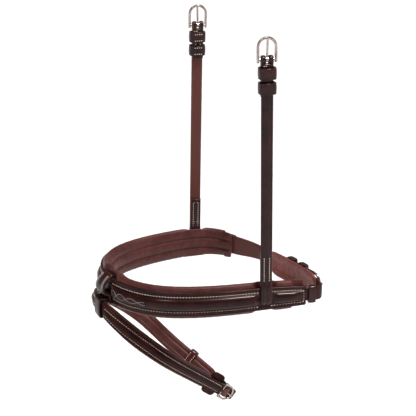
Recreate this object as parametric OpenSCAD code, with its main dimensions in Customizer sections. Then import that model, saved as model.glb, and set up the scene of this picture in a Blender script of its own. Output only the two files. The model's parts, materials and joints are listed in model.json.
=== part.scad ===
// Padded flash noseband of a bridle, buckled up and lying in its worn shape.
// Millimetres. +Z runs up the cheek straps, -X is the front of the nose,
// +X the chin closure. The origin is the middle of the nose opening, at half
// the height of the noseband.

/* [Noseband] */
// Length of the worn loop, nose to chin
ring_len = 231; // [190:1:280]
// Width of the worn loop, cheek to cheek
ring_wid = 198; // [160:1:240]
// Height of the leather at the nose
nose_h = 30; // [24:0.5:36]
// Height of the leather at the two padded ends
end_h = 22.4; // [18:0.4:28]
// Thickness of the leather at its edges
leather_t = 3; // [2.5:0.1:3.6]
// How far the raised centre roll stands off the leather
roll_h = 2.2; // [0:0.1:3]
// How far the lining shows beyond each edge of the leather
pad_show = 3; // [1:0.25:5]
// Thickness of the padded lining
pad_t = 7; // [5:0.25:9]

/* [Cheek straps] */
// Width of a cheek strap
cheek_w = 12.5; // [10:0.5:15]
// Thickness of one layer of strap leather
strap_t = 2.5; // [2:0.1:2.8]
// Height of the buckle bar above the middle of the noseband
cheek_bar_z = 263; // [200:1:320]
// Height of the line at which a cheek strap flexes
flex_z = 21; // [20:0.5:28]
// Lean of a cheek strap from upright, in degrees
cheek_lean = 1; // [0:0.5:3]
// Length of the strap end sewn back above the noseband
return_len = 30; // [16:1:60]
// Length of the strap end folded back below the buckle
fold_len = 38; // [34:1:60]
// Height of a strap keeper
keeper_h = 11.6; // [8:0.2:14]
// Leather thickness of a keeper
keeper_t = 2.2; // [1.5:0.1:2.8]

/* [Buckles] */
// Radius of the buckle wire
wire_r = 1.4; // [1:0.1:1.8]
// Radius of a buckle bar
bar_r = 1.25; // [0.9:0.05:1.5]
// Bar to crown of a cheek or chin buckle, between wire centres
buckle_reach = 21.5; // [18:0.5:28]
// Radius of a buckle tongue
tongue_r = 1.05; // [0.8:0.05:1.3]

/* [Chin closure] */
// Width of the chin strap and its billet
chin_w = 16; // [13:0.5:20]
// Thickness of a billet
billet_t = 2.2; // [1.8:0.1:2.6]
// Height of the chin pad
chin_pad_h = 29; // [22:0.5:36]
// Length of billet past the chin buckle bar
billet_tail = 62; // [50:1:90]

/* [Flash] */
// Angle at which the flash hangs below the noseband, in degrees
flash_drop = 42; // [30:1:60]
// Length of the worn flash loop
flash_len = 212; // [180:1:250]
// Width of the flash leather at the nose
flash_w = 17; // [14:0.5:20]
// Width of the flash leather at its buckle
flash_end_w = 14; // [12:0.5:17]
// Thickness of the flash padding
flash_pad_t = 4.4; // [3:0.2:6]
// Width of the flash billet
flash_billet_w = 12; // [10:0.5:14]
// Width of the hanger loop along the noseband
hanger_w = 17; // [14:1:26]

/* [Hidden] */
$fn = 48;
gap = 0.3;             // clearance between pieces that move on each other
rub = 0.15;            // clearance between leathers that lie together
seam = 0.04;           // half the gap between two legs of one folded leather
leatherColour = [0.20, 0.11, 0.11];
padColour = [0.41, 0.23, 0.22];
steelColour = [0.75, 0.74, 0.73];

// control points of the worn loop for a loop 231 long and 198 wide
ringShape = [[-108, 18], [-74, -48], [3, -73], [88, -82], [121, -100],
             [112, -24], [81, 63], [57, 90], [22, 98], [-81, 85]];
ringK = [for (p = ringShape) [p.x * ring_len / 231, p.y * ring_wid / 198]];
// control points of the flash loop for a loop 212 long, in its own plane
flashShape = [[206, 0], [181, 3], [154, 28], [118, 57], [104, 105], [42, 99], [-6.5, 42],
              [-16, -6], [4, -23], [41, -38], [74, -46], [122, -34], [168, -24], [212, -15]];
flashK = [for (p = flashShape) [p.x * flash_len / 212, p.y]];

// places along the worn loop, as curve values that grow from the nose
// round the near side, the chin and the far side
noseAt = 0.12;
nearAt = 2.57;
farAt = -2.46;
nearEnd = 3.28;
farEnd = -3.78;
chinBarAt = 4.66;
tuck = 0.22;           // curve length of the sewn-in ends of straps
// places along the flash loop
flashFarEnd = 1.1;
flashRunnerAt = 2.1;
flashNoseAt = 7;
flashNearEnd = 12.1;

// ---------- curves ----------

function pick(k, i, closed) =
    let (n = len(k)) closed ? k[((i % n) + n) % n] : k[min(max(i, 0), n - 1)];
// uniform cubic B-spline through control points k, at curve value u
function curve(k, u, closed = true) =
    let (i = floor(u), t = u - i, s = 1 - t)
    (pow(s, 3) * pick(k, i - 1, closed)
     + (3 * pow(t, 3) - 6 * t * t + 4) * pick(k, i, closed)
     + (3 * pow(s, 3) - 6 * s * s + 4) * pick(k, i + 1, closed)
     + pow(t, 3) * pick(k, i + 2, closed)) / 6;
// its derivative, whose length is millimetres for one step of u
function speedOf(k, u, closed = true) =
    (curve(k, u + 0.001, closed) - curve(k, u - 0.001, closed)) / 0.002;
function along(k, u, closed = true) = let (d = speedOf(k, u, closed)) d / norm(d);
function outward(k, u, closed = true) = let (d = along(k, u, closed)) [d.y, -d.x];
function spread(a, b, n) = [for (i = [0 : n - 1]) a + (b - a) * i / n];
function arc(c, r, a0, a1, n) =
    [for (i = [0 : n]) let (a = a0 + (a1 - a0) * i / n) c + r * [cos(a), sin(a)]];
function smooth(t) = let (s = min(max(t, 0), 1)) s * s * (3 - 2 * s);

// normal of an open line of points at point i, to its left
function lineNormal(p, i) =
    let (a = p[max(i - 1, 0)], b = p[min(i + 1, len(p) - 1)], d = (b - a) / norm(b - a)) [-d.y, d.x];
// outline of a strip of half thickness h laid along a line of points
function strip(p, h) =
    concat([for (i = [0 : len(p) - 1]) p[i] + h * lineNormal(p, i)],
           [for (i = [len(p) - 1 : -1 : 0]) p[i] - h * lineNormal(p, i)]);
function roundedBox(a, b, r) =
    concat(arc([a / 2 - r, b / 2 - r], r, 0, 90, 5), arc([-a / 2 + r, b / 2 - r], r, 90, 180, 5),
           arc([-a / 2 + r, -b / 2 + r], r, 180, 270, 5), arc([a / 2 - r, -b / 2 + r], r, 270, 360, 5));

// closed solid through a list of equal rings of points
module sweep(rings) {
    n = len(rings[0]);
    m = len(rings);
    polyhedron(points = [for (r = rings, p = r) p],
               faces = concat([[for (i = [n - 1 : -1 : 0]) i]], [[for (i = [0 : n - 1]) (m - 1) * n + i]],
                              [for (j = [0 : m - 2], i = [0 : n - 1])
                                  let (k = (i + 1) % n) [j * n + i, j * n + k, (j + 1) * n + k, (j + 1) * n + i]]),
               convexity = 10);
}
// profile points are [outward, up]
function ringAt(k, u, profile, closed = true) =
    let (c = curve(k, u, closed), o = outward(k, u, closed))
    [for (q = profile) [c.x + o.x * q[0], c.y + o.y * q[0], q[1]]];

// local frame on a loop: y outward, z up, x back along the loop
module atPlace(k, u, closed = true) {
    c = curve(k, u, closed);
    d = along(k, u, closed);
    translate([c.x, c.y, 0]) rotate([0, 0, atan2(-d.y, -d.x)]) children();
}
// extrude a [y, z] outline along x, centred
module acrossX(w) {
    rotate([90, 0, 90]) linear_extrude(w, center = true) children();
}
module rod(a, b, r) {
    d = b - a;
    translate(a) rotate([0, acos(d.z / norm(d)), atan2(d.y, d.x)]) cylinder(h = norm(d), r = r);
}
// rod with a round tip at b
module pin(a, b, r) {
    d = b - a;
    translate(a) rotate([0, acos(d.z / norm(d)), atan2(d.y, d.x)]) rotate_extrude() {
        square([r, norm(d)]);
        translate([0, norm(d)]) intersection() {
            circle(r = r);
            square(r);
        }
    }
}
module loopOutline(a, b, t) {
    difference() {
        polygon(roundedBox(a + 2 * t, b + 2 * t, min(1.6 + t, a / 2 + t - 0.3)));
        polygon(roundedBox(a, b, 0.3));
    }
}

// ---------- noseband ----------

nearStep = norm(speedOf(ringK, nearAt));
farStep = norm(speedOf(ringK, farAt));
noseStep = norm(speedOf(ringK, noseAt));
cheekHalf = cheek_w / 2 + 2 * gap;
hangerHalf = hanger_w / 2 + gap;
ramp = 3;              // millimetres over which the lining rises beside a strap
function aside(half) = [-half - ramp, -half, half, half + ramp];
// breaks of the loop: ends, tucked ends and the three places where a strap passes behind
breaks = concat([farEnd, farEnd + tuck, farEnd + tuck + 0.05],
                [for (d = aside(cheekHalf)) farAt + d / farStep],
                [for (d = aside(hangerHalf)) noseAt + d / noseStep],
                [for (d = aside(cheekHalf)) nearAt + d / nearStep],
                [nearEnd - tuck - 0.05, nearEnd - tuck, nearEnd]);
stations = concat([for (i = [0 : len(breaks) - 2]) let (a = breaks[i], b = breaks[i + 1])
                       each spread(a, b, max(1, ceil((b - a) / 0.13)))],
                  [nearEnd]);

// 1 where a strap passes behind the leather at place c, 0 away from it
function over(u, c, half, step) = 1 - smooth((abs(u - c) * step - half) / ramp);
function strapOver(u) =
    max(over(u, nearAt, cheekHalf, nearStep), over(u, farAt, cheekHalf, farStep),
        over(u, noseAt, hangerHalf, noseStep));
function sewnEnd(u) =
    1 - smooth(min(nearEnd - tuck - u, u - farEnd - tuck) / 0.05);
function leatherHalf(u) =
    lookup(u, [[farEnd, end_h / 2], [farAt, nose_h / 2 - 1.6], [noseAt, nose_h / 2],
               [nearAt, nose_h / 2 - 1.6], [nearEnd, end_h / 2]]);
function rollHere(u) = roll_h * (1 - strapOver(u)) * smooth(min(nearEnd - u, u - farEnd) / 0.15);
function leatherProfile(u) =
    let (h = leatherHalf(u), r = rollHere(u), t = leather_t)
    [[0, -h], [t - 0.7, -h], [t, -h + 1], [t, -0.62 * h], [t + 0.6 * r, -0.45 * h], [t + r, -0.2 * h],
     [t + r, 0.2 * h], [t + 0.6 * r, 0.45 * h], [t, 0.62 * h], [t, h - 1], [t - 0.7, h], [0, h]];

bow = 0.45;            // room for the curve of the noseband behind a flat strap
behind = strap_t + 2 * bow;   // room for a strap between leather and lining
function padProfile(u) =
    let (h = leatherHalf(u) + pad_show, m = max(strapOver(u), sewnEnd(u)),
         back = -behind * m, lip = 1.4 * (1 - m) + back, t = pad_t)
    [[-t, h - 6], [-t, -h + 6], [-t + 0.8, -h + 2.4], [-t + 2.4, -h], [min(lip, 0) - 1, -h],
     [lip, -h + 1.4], [lip, -h + pad_show - rub], [back, -h + pad_show - rub], [back, h - pad_show + rub],
     [lip, h - pad_show + rub], [lip, h - 1.4], [min(lip, 0) - 1, h], [-t + 2.4, h], [-t + 0.8, h - 2.4]];

// slit at which a cheek strap passes through the leather
slitTop = -2;
slitLow = -3.9 - strap_t;
module slit() {
    translate([-cheek_w / 2 - gap, -1, slitLow])
        cube([cheek_w + 2 * gap, leather_t + roll_h + 2, slitTop - slitLow]);
}

module noseband_leather() {
    color(leatherColour) difference() {
        sweep([for (u = stations) ringAt(ringK, u, leatherProfile(u))]);
        atPlace(ringK, nearAt) slit();
        atPlace(ringK, farAt) slit();
    }
}

module noseband_padding() {
    inner = [for (u = stations) if (u > farEnd + 0.04 && u < nearEnd - 0.04) u];
    color(padColour) sweep([for (u = inner) ringAt(ringK, u, padProfile(u))]);
}

// ---------- buckles ----------

// frame of a horseshoe buckle: bar along x at the origin, crown towards +z
module horseshoe(inner_w, reach) {
    big = inner_w / 2 + wire_r;
    foot = 2.2;
    for (side = [-1, 1]) translate([side * big, 0, -foot]) {
        cylinder(h = reach - big + foot, r = wire_r);
        sphere(r = wire_r);
    }
    translate([0, 0, reach - big]) rotate([90, 0, 0])
        rotate_extrude(angle = 180) translate([big, 0]) circle(r = wire_r);
    rod([-big, 0, 0], [big, 0, 0], bar_r);
}
// tongue that turns on the bar: its tip lies on a crown whose centre is [y, z]
module tongue(tip) {
    d = tip / norm(tip);
    start = [0, d[0], d[1]] * (bar_r + 0.7);
    rotate([0, 90, 0]) difference() {
        cylinder(h = 2.6, r = bar_r + 1.2, center = true);
        cylinder(h = 3, r = bar_r + 0.08, center = true);
    }
    pin(start, [0, tip[0], tip[1]], tongue_r);
}
// strap folded round a bar at the origin: long leg on +y, short leg on -y, both towards -z
function foldLine(t, long, short) =
    let (r = bar_r + 0.2 + t / 2, leg = t / 2 + seam)
    concat([[leg, -long], [leg, -2.4 * r]], arc([0, 0], r, -35, 215, 16), [[-leg, -2.4 * r], [-leg, -short]]);
module fold(w, t, long, short) {
    difference() {
        acrossX(w) polygon(strip(foldLine(t, long, short), t / 2));
        translate([-1.8, -8, -3.6]) cube([3.6, 16, 12]);
    }
}

buckleIn = 15.6;       // inside width of a cheek buckle
tilt = 6;              // lean of a chin buckle's crown away from the strap, in degrees

// ---------- cheek straps ----------

seat = strap_t * 0.6;  // how far the flex line stands outside the lining's face
loopOut = leather_t + rub + strap_t / 2;
loopIn = -bow - strap_t / 2;
loopR = (loopOut - loopIn) / 2;
loopMid = (loopOut + loopIn) / 2;
module cheekLoop() {
    leg = strap_t / 2 + seam;
    line = concat([[seat + leg, flex_z - 1], [seat + leg + 0.4, flex_z - 3.4],
                   [loopOut + 0.1, nose_h / 2 - 1.2]],
                  arc([loopMid, -1.6], loopR, 0, -180, 12),
                  [[loopIn, nose_h / 2 - 2.5], [seat - leg - 0.2, flex_z - 3.4], [seat - leg, flex_z - 1]]);
    color(leatherColour) union() {
        acrossX(cheek_w) polygon(strip(line, strap_t / 2));
        acrossX(cheek_w) translate([seat, flex_z]) circle(r = strap_t);
    }
}
// everything above the flex line leans a little
module cheekUp() {
    translate([0, seat, flex_z]) rotate([0, cheek_lean, 0]) children();
}
barUp = cheek_bar_z - flex_z;
foot = strap_t + gap;  // lowest point of the strap above the flex line
module cheekStrap() {
    color(leatherColour) cheekUp() translate([0, 0, barUp]) fold(cheek_w, strap_t, barUp - foot, fold_len);
}
module cheekReturn() {
    color(leatherColour) cheekUp()
        translate([-cheek_w / 2, -strap_t, foot]) cube([cheek_w, strap_t - 0.05, return_len]);
}
slot = billet_t + 0.6; // room in a keeper for the strap that it holds
module cheekKeeper(top) {
    inX = cheek_w + 2 * gap;
    inY = 2 * strap_t + slot + gap;
    color(leatherColour) cheekUp() translate([0, -strap_t - gap + inY / 2, top - keeper_h])
        linear_extrude(keeper_h) loopOutline(inX, inY, keeper_t);
}
upperTop = barUp - 7.8;
runnerTop = upperTop - keeper_h - 3.6;
module cheekFrame() {
    color(steelColour) cheekUp() translate([0, 0, barUp]) horseshoe(buckleIn, buckle_reach);
}
module cheekTongue() {
    color(steelColour) cheekUp() translate([0, 0, barUp])
        tongue([wire_r + tongue_r + 0.15, buckle_reach + 0.4]);
}

// ---------- chin closure ----------

chinStep = norm(speedOf(ringK, chinBarAt));
crownAt = chinBarAt - buckle_reach / chinStep;
farEndUp = farEnd + len(ringK);
chinKeeper_t = keeper_t - 0.4;
// distance from the bar along the loop, towards the near side, in millimetres
function pastBar(u) = (chinBarAt - u) * chinStep;
crownY = strap_t / 2 + buckle_reach * sin(tilt);
underCrown = crownY - wire_r - gap - billet_t / 2;
overBar = bar_r + 0.2 + strap_t + rub + billet_t / 2 + strap_t / 2;
overStrap = 1.5 * strap_t + rub + billet_t / 2;
// middle line of the billet, outward from the loop
function billetOut(u) =
    let (x = pastBar(u), sewn = -rub - billet_t / 2)
    u < nearEnd + 0.1 ? sewn
    : x > buckle_reach - 4
        ? sewn + (underCrown - sewn) * smooth((u - nearEnd - 0.1) / (crownAt - nearEnd - 0.1))
    : x > 3 ? underCrown + (overBar - underCrown) * smooth((buckle_reach - 4 - x) / (buckle_reach - 7))
    : x > -4 ? overBar
    : overStrap + (overBar - overStrap) * smooth((x + 14) / 10);
function bandProfile(o, t, w) =
    [[o - t / 2, -w / 2], [o + t / 2, -w / 2], [o + t / 2, w / 2], [o - t / 2, w / 2]];
tailEnd = chinBarAt + billet_tail / chinStep;
module noseband_billet() {
    us = concat(spread(nearEnd - tuck + 0.02, nearEnd + 0.1, 3), spread(nearEnd + 0.1, crownAt, 26),
                spread(crownAt, chinBarAt + 0.25, 16), spread(chinBarAt + 0.25, tailEnd, 8), [tailEnd]);
    tip = [for (u = us) u > tailEnd - 0.1 ? 0.45 : 1];
    holeAt = 8;
    color(leatherColour) difference() {
        sweep([for (i = [0 : len(us) - 1])
               ringAt(ringK, us[i], bandProfile(billetOut(us[i]), billet_t, (chin_w - 1) * tip[i]))]);
        atPlace(ringK, chinBarAt) for (x = [holeAt - 3 : 1.5 : holeAt + 3.5])
            translate([x, 0, 0]) rotate([-90, 0, 0]) cylinder(h = 12, r = 1.6, $fn = 16);
    }
}
// the chin strap runs from the far padded end to its fold at the bar
function chinOut(u) = let (sewn = -rub - strap_t / 2)
    sewn + (strap_t - sewn) * smooth((farEndUp - 0.04 - u) / 0.5);
module chin_strap() {
    us = concat(spread(chinBarAt + 8 / chinStep, farEndUp - 0.04, 16),
                spread(farEndUp - 0.04, farEndUp + tuck - 0.02, 3),
                [farEndUp + tuck - 0.02]);
    foldAt = chinBarAt + 8 / chinStep;
    color(leatherColour) {
        sweep([for (u = us) ringAt(ringK, u, bandProfile(chinOut(u), strap_t,
               chin_w + 4 * smooth((u - foldAt) / (farEndUp - foldAt))))]);
        atPlace(ringK, chinBarAt) chinTurn() fold(chin_w, strap_t, 10, 26);
    }
}
// turns a buckle's frame so that its crown points back towards the near side
module chinTurn() {
    translate([0, strap_t / 2, 0]) rotate([0, 90, 0]) children();
}
module chin_pad() {
    a = chinBarAt - 30 / chinStep;
    b = chinBarAt + 50 / chinStep;
    t0 = 6.4;
    back = -strap_t / 2 - rub - 0.4;
    deep = -strap_t / 2 - 2 * gap - chinKeeper_t;
    function h(u) = chin_pad_h / 2 * (0.8 + 0.2 * smooth(min(u - a, b - u) / 0.12));
    function face(u) = back + (deep - back) * smooth(min(pastBar(u) + 43, 10 - pastBar(u)) / 3);
    color([0.48, 0.29, 0.27]) sweep([for (u = concat(spread(a, b, 30), [b])) let (k = h(u), o = face(u), t = t0 + o - back)
        ringAt(ringK, u, [[o - t, k - 5], [o - t, -k + 5], [o - t + 2, -k + 1], [o - t + 3.4, -k], [o - 1, -k],
                          [o, -k + 1.2], [o, k - 1.2], [o - 1, k], [o - t + 3.4, k], [o - t + 2, k - 1]])]);
}
module chin_buckle_frame() {
    color(steelColour) atPlace(ringK, chinBarAt) chinTurn() rotate([-tilt, 0, 0])
        horseshoe(chin_w + 1.4, buckle_reach);
}
module chin_buckle_tongue() {
    color(steelColour) atPlace(ringK, chinBarAt) chinTurn() rotate([-tilt, 0, 0])
        tongue([wire_r + tongue_r + 0.15, buckle_reach + 1.6]);
}
// keepers round the chin strap and the billet's tail; x is measured back from the bar
module chinKeeper(x) {
    u = chinBarAt - x / chinStep;
    inY = 3.2 * strap_t + billet_t + 2 * gap;
    color(leatherColour) atPlace(ringK, u)
        translate([0, -strap_t / 2 - gap + inY / 2, 0]) acrossX(9)
            loopOutline(inY, chin_w + 3 * gap, chinKeeper_t);
}
module chin_keeper() { chinKeeper(-13); }
module chin_runner() { chinKeeper(-30); }
module billet_runner() {
    u = nearEnd + 0.17;
    color(leatherColour) atPlace(ringK, u)
        translate([0, billetOut(u), 0]) acrossX(8) loopOutline(billet_t + 2 * gap, chin_w + gap, keeper_t);
}

// ---------- flash ----------

noseP = curve(ringK, noseAt);
hangerOut = leather_t + rub + keeper_t;
neckZ = -6.3;          // height of the line on which the flash swings
neckY = hangerOut + 1.5;
neckR = 1.2;
neckWeb = 1.5;
hangerBulge = hangerOut + 3.5;

// loop of leather round the noseband, with a sewn fold on its face that the keeper hangs from
module flash_hanger() {
    half = hanger_w / 2 / noseStep;
    zi = nose_h / 2 + rub;
    z = zi + keeper_t;
    in = -rub - keeper_t;
    face = leather_t + rub;
    outer = [[in, -z], [hangerOut, -z], [hangerOut, neckZ + 2], [hangerBulge - 0.8, neckZ + 2.9],
             [hangerBulge, neckZ + 5.4], [hangerBulge, z - 9], [hangerBulge - 1.1, z - 5],
             [hangerOut - 0.2, z - 1], [hangerOut - 1.4, z], [in, z]];
    inner = [[-rub, -zi], [face, -zi], [face, neckZ + 2], [face, neckZ + 2.9], [face, neckZ + 5.4],
             [face, z - 9], [face, z - 5], [face, zi - 0.6], [face - 0.6, zi], [-rub, zi]];
    us = concat(spread(noseAt - half, noseAt + half, 8), [noseAt + half]);
    n = len(outer);
    m = len(us);
    // point i of ring j, outside for k = 0 and inside for k = 1
    function at(k, j, i) = (k * m + j) * n + i % n;
    function wall(k, j, i) = let (f = [at(k, j, i), at(k, j, i + 1), at(k, j + 1, i + 1), at(k, j + 1, i)])
        k == 0 ? f : [f[3], f[2], f[1], f[0]];
    function rim(j, i) = let (f = [at(0, j, i + 1), at(0, j, i), at(1, j, i), at(1, j, i + 1)])
        j == 0 ? f : [f[3], f[2], f[1], f[0]];
    color(leatherColour) {
        polyhedron(points = [for (shape = [outer, inner], u = us, p = ringAt(ringK, u, shape)) p],
                   faces = concat([for (k = [0, 1], j = [0 : m - 2], i = [0 : n - 1]) wall(k, j, i)],
                                  [for (j = [0, m - 1], i = [0 : n - 1]) rim(j, i)]),
                   convexity = 10);
        atPlace(ringK, noseAt) acrossX(hanger_w - 6) union() {
            translate([neckY, neckZ]) circle(r = neckR);
            translate([hangerOut - 1.1, neckZ - neckWeb / 2]) square([neckY - hangerOut + 1.1, neckWeb]);
        }
    }
}

// the flash's own frame: x away from the nose in its plane, z across the strap
flashSeat = [noseP.x - leather_t - 2.4, noseP.y, -nose_h / 2 - 15];
module flashFrame() {
    translate(flashSeat) rotate([0, flash_drop, 0]) children();
}
// the strap stands upright in its keeper and twists into the flash's plane beyond it
function twist(u) = flash_drop * (1 - smooth(abs(u - flashNoseAt) / 2.2));
function rise(u) = 2.7 * (1 - smooth(abs(u - flashNoseAt) / 1.8));
function flashRing(u, profile) =
    let (w = twist(u), c = cos(w), s = sin(w),
         turned = [for (q = profile) [q[0] * c + q[1] * s, q[1] * c - q[0] * s + rise(u)]])
    ringAt(flashK, u, turned, false);
module atFlash(u) {
    translate([0, 0, rise(u)]) atPlace(flashK, u, false) rotate([-twist(u), 0, 0]) children();
}
function flashHalf(u) =
    lookup(u, [[flashFarEnd, flash_end_w / 2], [flashNoseAt, flash_w / 2], [flashNearEnd, flash_end_w / 2]]);
flash_t = 2.5;
flashRoll = 0.9;       // how far the flash's centre roll stands off its leather
flashShow = 1.6;       // how far its padding shows beyond each edge
flashPress = 2.2;      // how much the padding is pressed thinner in the keeper
// 0 inside the keeper, 1 away from it
function squeeze(u) = smooth((abs(u - flashNoseAt) - 0.25) / 0.3);
flashStations = concat(spread(flashFarEnd, flashNearEnd, 66), [flashNearEnd]);
function flashLeather(u) =
    let (h = flashHalf(u), r = flashRoll * squeeze(u), t = flash_t)
    [[0, -h], [t, -h], [t, -0.5 * h], [t + r, -0.3 * h], [t + r, 0.3 * h], [t, 0.5 * h], [t, h], [0, h]];
function flashPad(u) =
    let (h = flashHalf(u) + flashShow, t = flash_pad_t - flashPress * (1 - squeeze(u)))
    [[-t, h - 1.5], [-t, -h + 1.5], [-t + 1.5, -h], [-0.6, -h],
     [0, -h + 0.6], [0, h - 0.6], [-0.6, h], [-t + 1.5, h]];
module flash_strap() {
    color(leatherColour) flashFrame()
        sweep([for (u = flashStations) flashRing(u, flashLeather(u))]);
}
padStop = flashNearEnd - 15 / norm(speedOf(flashK, flashNearEnd, false));
module flash_padding() {
    us = [for (u = flashStations) if (u < padStop) u];
    color(padColour) flashFrame() sweep([for (u = us) flashRing(u, flashPad(u))]);
}
// keeper at the nose that the flash strap runs through
flashKeeperLong = 13;
module flash_keeper() {
    bend = 1.1;        // room for the curve of the strap inside the keeper
    pad = flash_pad_t - flashPress + 0.7;
    inY = flash_t + pad + 2 * gap + bend;
    inZ = flash_w + 2 * flashShow + 2 * gap;
    color(leatherColour) flashFrame() atFlash(flashNoseAt)
        translate([0, (flash_t - pad - bend) / 2, 0]) acrossX(flashKeeperLong) loopOutline(inY, inZ, 1.6);
}

// ---------- flash buckle: x back towards the nose, y outward ----------

fbIn = flash_billet_w + 3;
fbWire = 1.2;
fbBar = 1.1;
fbRail = 2;            // height of the frame's plane above the padding's face
fbCentre = [-7, -flash_t + 0.3];
fbCrown = -19;
module atFlashBuckle() {
    flashFrame() atFlash(flashNearEnd) children();
}
module flash_buckle_frame() {
    big = fbIn / 2 + fbWire;
    color(steelColour) atFlashBuckle() {
        translate([fbCrown + big, fbRail, 0]) rotate([90, 0, 0]) rotate([0, 0, 90])
            rotate_extrude(angle = 180) translate([big, 0]) circle(r = fbWire);
        for (s = [-1, 1]) {
            rod([fbCrown + big, fbRail, s * big], [-1.2, fbRail, s * big], fbWire);
            translate([-1.2, fbRail, s * big]) sphere(r = fbWire);
            rod([fbCentre.x, fbRail, s * big], [fbCentre.x, fbCentre.y, s * big], fbWire);
            translate([fbCentre.x, fbCentre.y, s * big]) sphere(r = fbWire);
        }
        rod([-1.2, fbRail, -big], [-1.2, fbRail, big], fbBar);
        rod([fbCentre.x, fbCentre.y, -big], [fbCentre.x, fbCentre.y, big], fbBar);
    }
}
module flash_buckle_tongue() {
    tip = [fbCrown - 0.6, fbRail + fbWire + 0.95 + 0.6];
    color(steelColour) atFlashBuckle() {
        translate([fbCentre.x, fbCentre.y, 0]) difference() {
            cylinder(h = 2.6, r = fbBar + 1.1, center = true);
            cylinder(h = 3, r = fbBar + 0.08, center = true);
        }
        pin([fbCentre.x - 1.6, fbCentre.y + 0.9, 0], [tip.x, tip.y, 0], 0.95);
    }
}
chapeT = 1.9;
// leather that holds the centre bar, sewn between the strap and its guard
module flash_chape() {
    r = fbBar + 0.2 + chapeT / 2;
    leg = chapeT / 2 + seam;
    line = concat([[14, leg], [-0.6, leg]], arc([fbCentre.x, 0], r, 35, 325, 16), [[-0.6, -leg], [14, -leg]]);
    color(leatherColour) atFlashBuckle() translate([0, fbCentre.y, 0]) difference() {
        linear_extrude(flash_end_w - 2, center = true) polygon(strip(line, chapeT / 2));
        translate([fbCentre.x - 6, -6, -1.8]) cube([9, 12, 3.6]);
    }
}
guardLong = 23;
guardWide = 29;
guardT = 2.4;
module flash_guard() {
    color(leatherColour) atFlashBuckle() translate([guardLong / 2 - 2, -flash_pad_t - rub - guardT / 2, 0])
        rotate([90, 0, 0]) linear_extrude(guardT, center = true) polygon(roundedBox(guardLong, guardWide, 5));
}
// the billet turns round behind the crown and lies over the centre bar
billetThick = 2;
farP = curve(flashK, flashFarEnd, false);
buckleP = curve(flashK, flashNearEnd, false);
buckleD = along(flashK, flashNearEnd, false);
// a point of the flash plane seen from the buckle
function fromBuckle(p) = let (d = p - buckleP) [-(d * buckleD), d * [buckleD.y, -buckleD.x]];
function turned(v) = [-(v * buckleD), v * [buckleD.y, -buckleD.x]];
farStart = fromBuckle(farP + outward(flashK, flashFarEnd, false) * flash_t / 2
                      - along(flashK, flashFarEnd, false) * rub);
farDir = turned(-along(flashK, flashFarEnd, false));
underD = fbRail - fbWire - rub - billetThick / 2 - 0.2;
overC = fbCentre.y + fbBar + 0.2 + chapeT + rub + billetThick / 2;
turnR = 4.4;
turnX = fbCrown - 4.5;
function bend(a, b, c, n) =
    [for (i = [0 : n]) let (t = i / n) (1 - t) * (1 - t) * a + 2 * t * (1 - t) * b + t * t * c];
billetLine = concat(bend(farStart, farStart + farDir * 14, [turnX + 6, underD - 2 * turnR], 8),
                    arc([turnX, underD - turnR], turnR, 270, 90, 12),
                    [[fbCrown, underD], [fbCrown + 2, underD], [-14.6, underD + 0.7], [-12, overC - 0.8], [-9, overC],
                     [-5.6, overC], [-2.9, overC]]);
module flash_billet() {
    color(leatherColour) atFlashBuckle() difference() {
        linear_extrude(flash_billet_w, center = true) polygon(strip(billetLine, billetThick / 2));
        for (x = [-16.5 : 1.5 : -8.5])
            translate([x, -4, 0]) rotate([-90, 0, 0]) cylinder(h = 12, r = 1.5, $fn = 16);
    }
}
module flash_runner() {
    clear = 0.6;
    inY = flash_t + flashRoll + flash_pad_t + 2 * clear;
    inZ = 2 * (flashHalf(flashRunnerAt) + flashShow + clear);
    color(leatherColour) flashFrame() atFlash(flashRunnerAt)
        translate([0, (flash_t + flashRoll - flash_pad_t) / 2, 0]) acrossX(9.5)
            loopOutline(inY, inZ, keeper_t - 0.6);
}

module near() { atPlace(ringK, nearAt) children(); }
module far() { atPlace(ringK, farAt) children(); }

noseband_leather();
noseband_padding();
near() cheekLoop();  // near_cheek_loop
near() cheekStrap();  // near_cheek_strap
near() cheekReturn();  // near_cheek_return
near() cheekKeeper(upperTop);  // near_cheek_keeper
near() cheekKeeper(runnerTop);  // near_cheek_runner
near() cheekFrame();  // near_buckle_frame
near() cheekTongue();  // near_buckle_tongue
far() cheekLoop();  // far_cheek_loop
far() cheekStrap();  // far_cheek_strap
far() cheekReturn();  // far_cheek_return
far() cheekKeeper(upperTop);  // far_cheek_keeper
far() cheekKeeper(runnerTop);  // far_cheek_runner
far() cheekFrame();  // far_buckle_frame
far() cheekTongue();  // far_buckle_tongue
noseband_billet();
billet_runner();
chin_strap();
chin_pad();
chin_buckle_frame();
chin_buckle_tongue();
chin_keeper();
chin_runner();
flash_hanger();
flash_keeper();
flash_strap();
flash_padding();
flash_chape();
flash_guard();
flash_billet();
flash_runner();
flash_buckle_frame();
flash_buckle_tongue();
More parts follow.
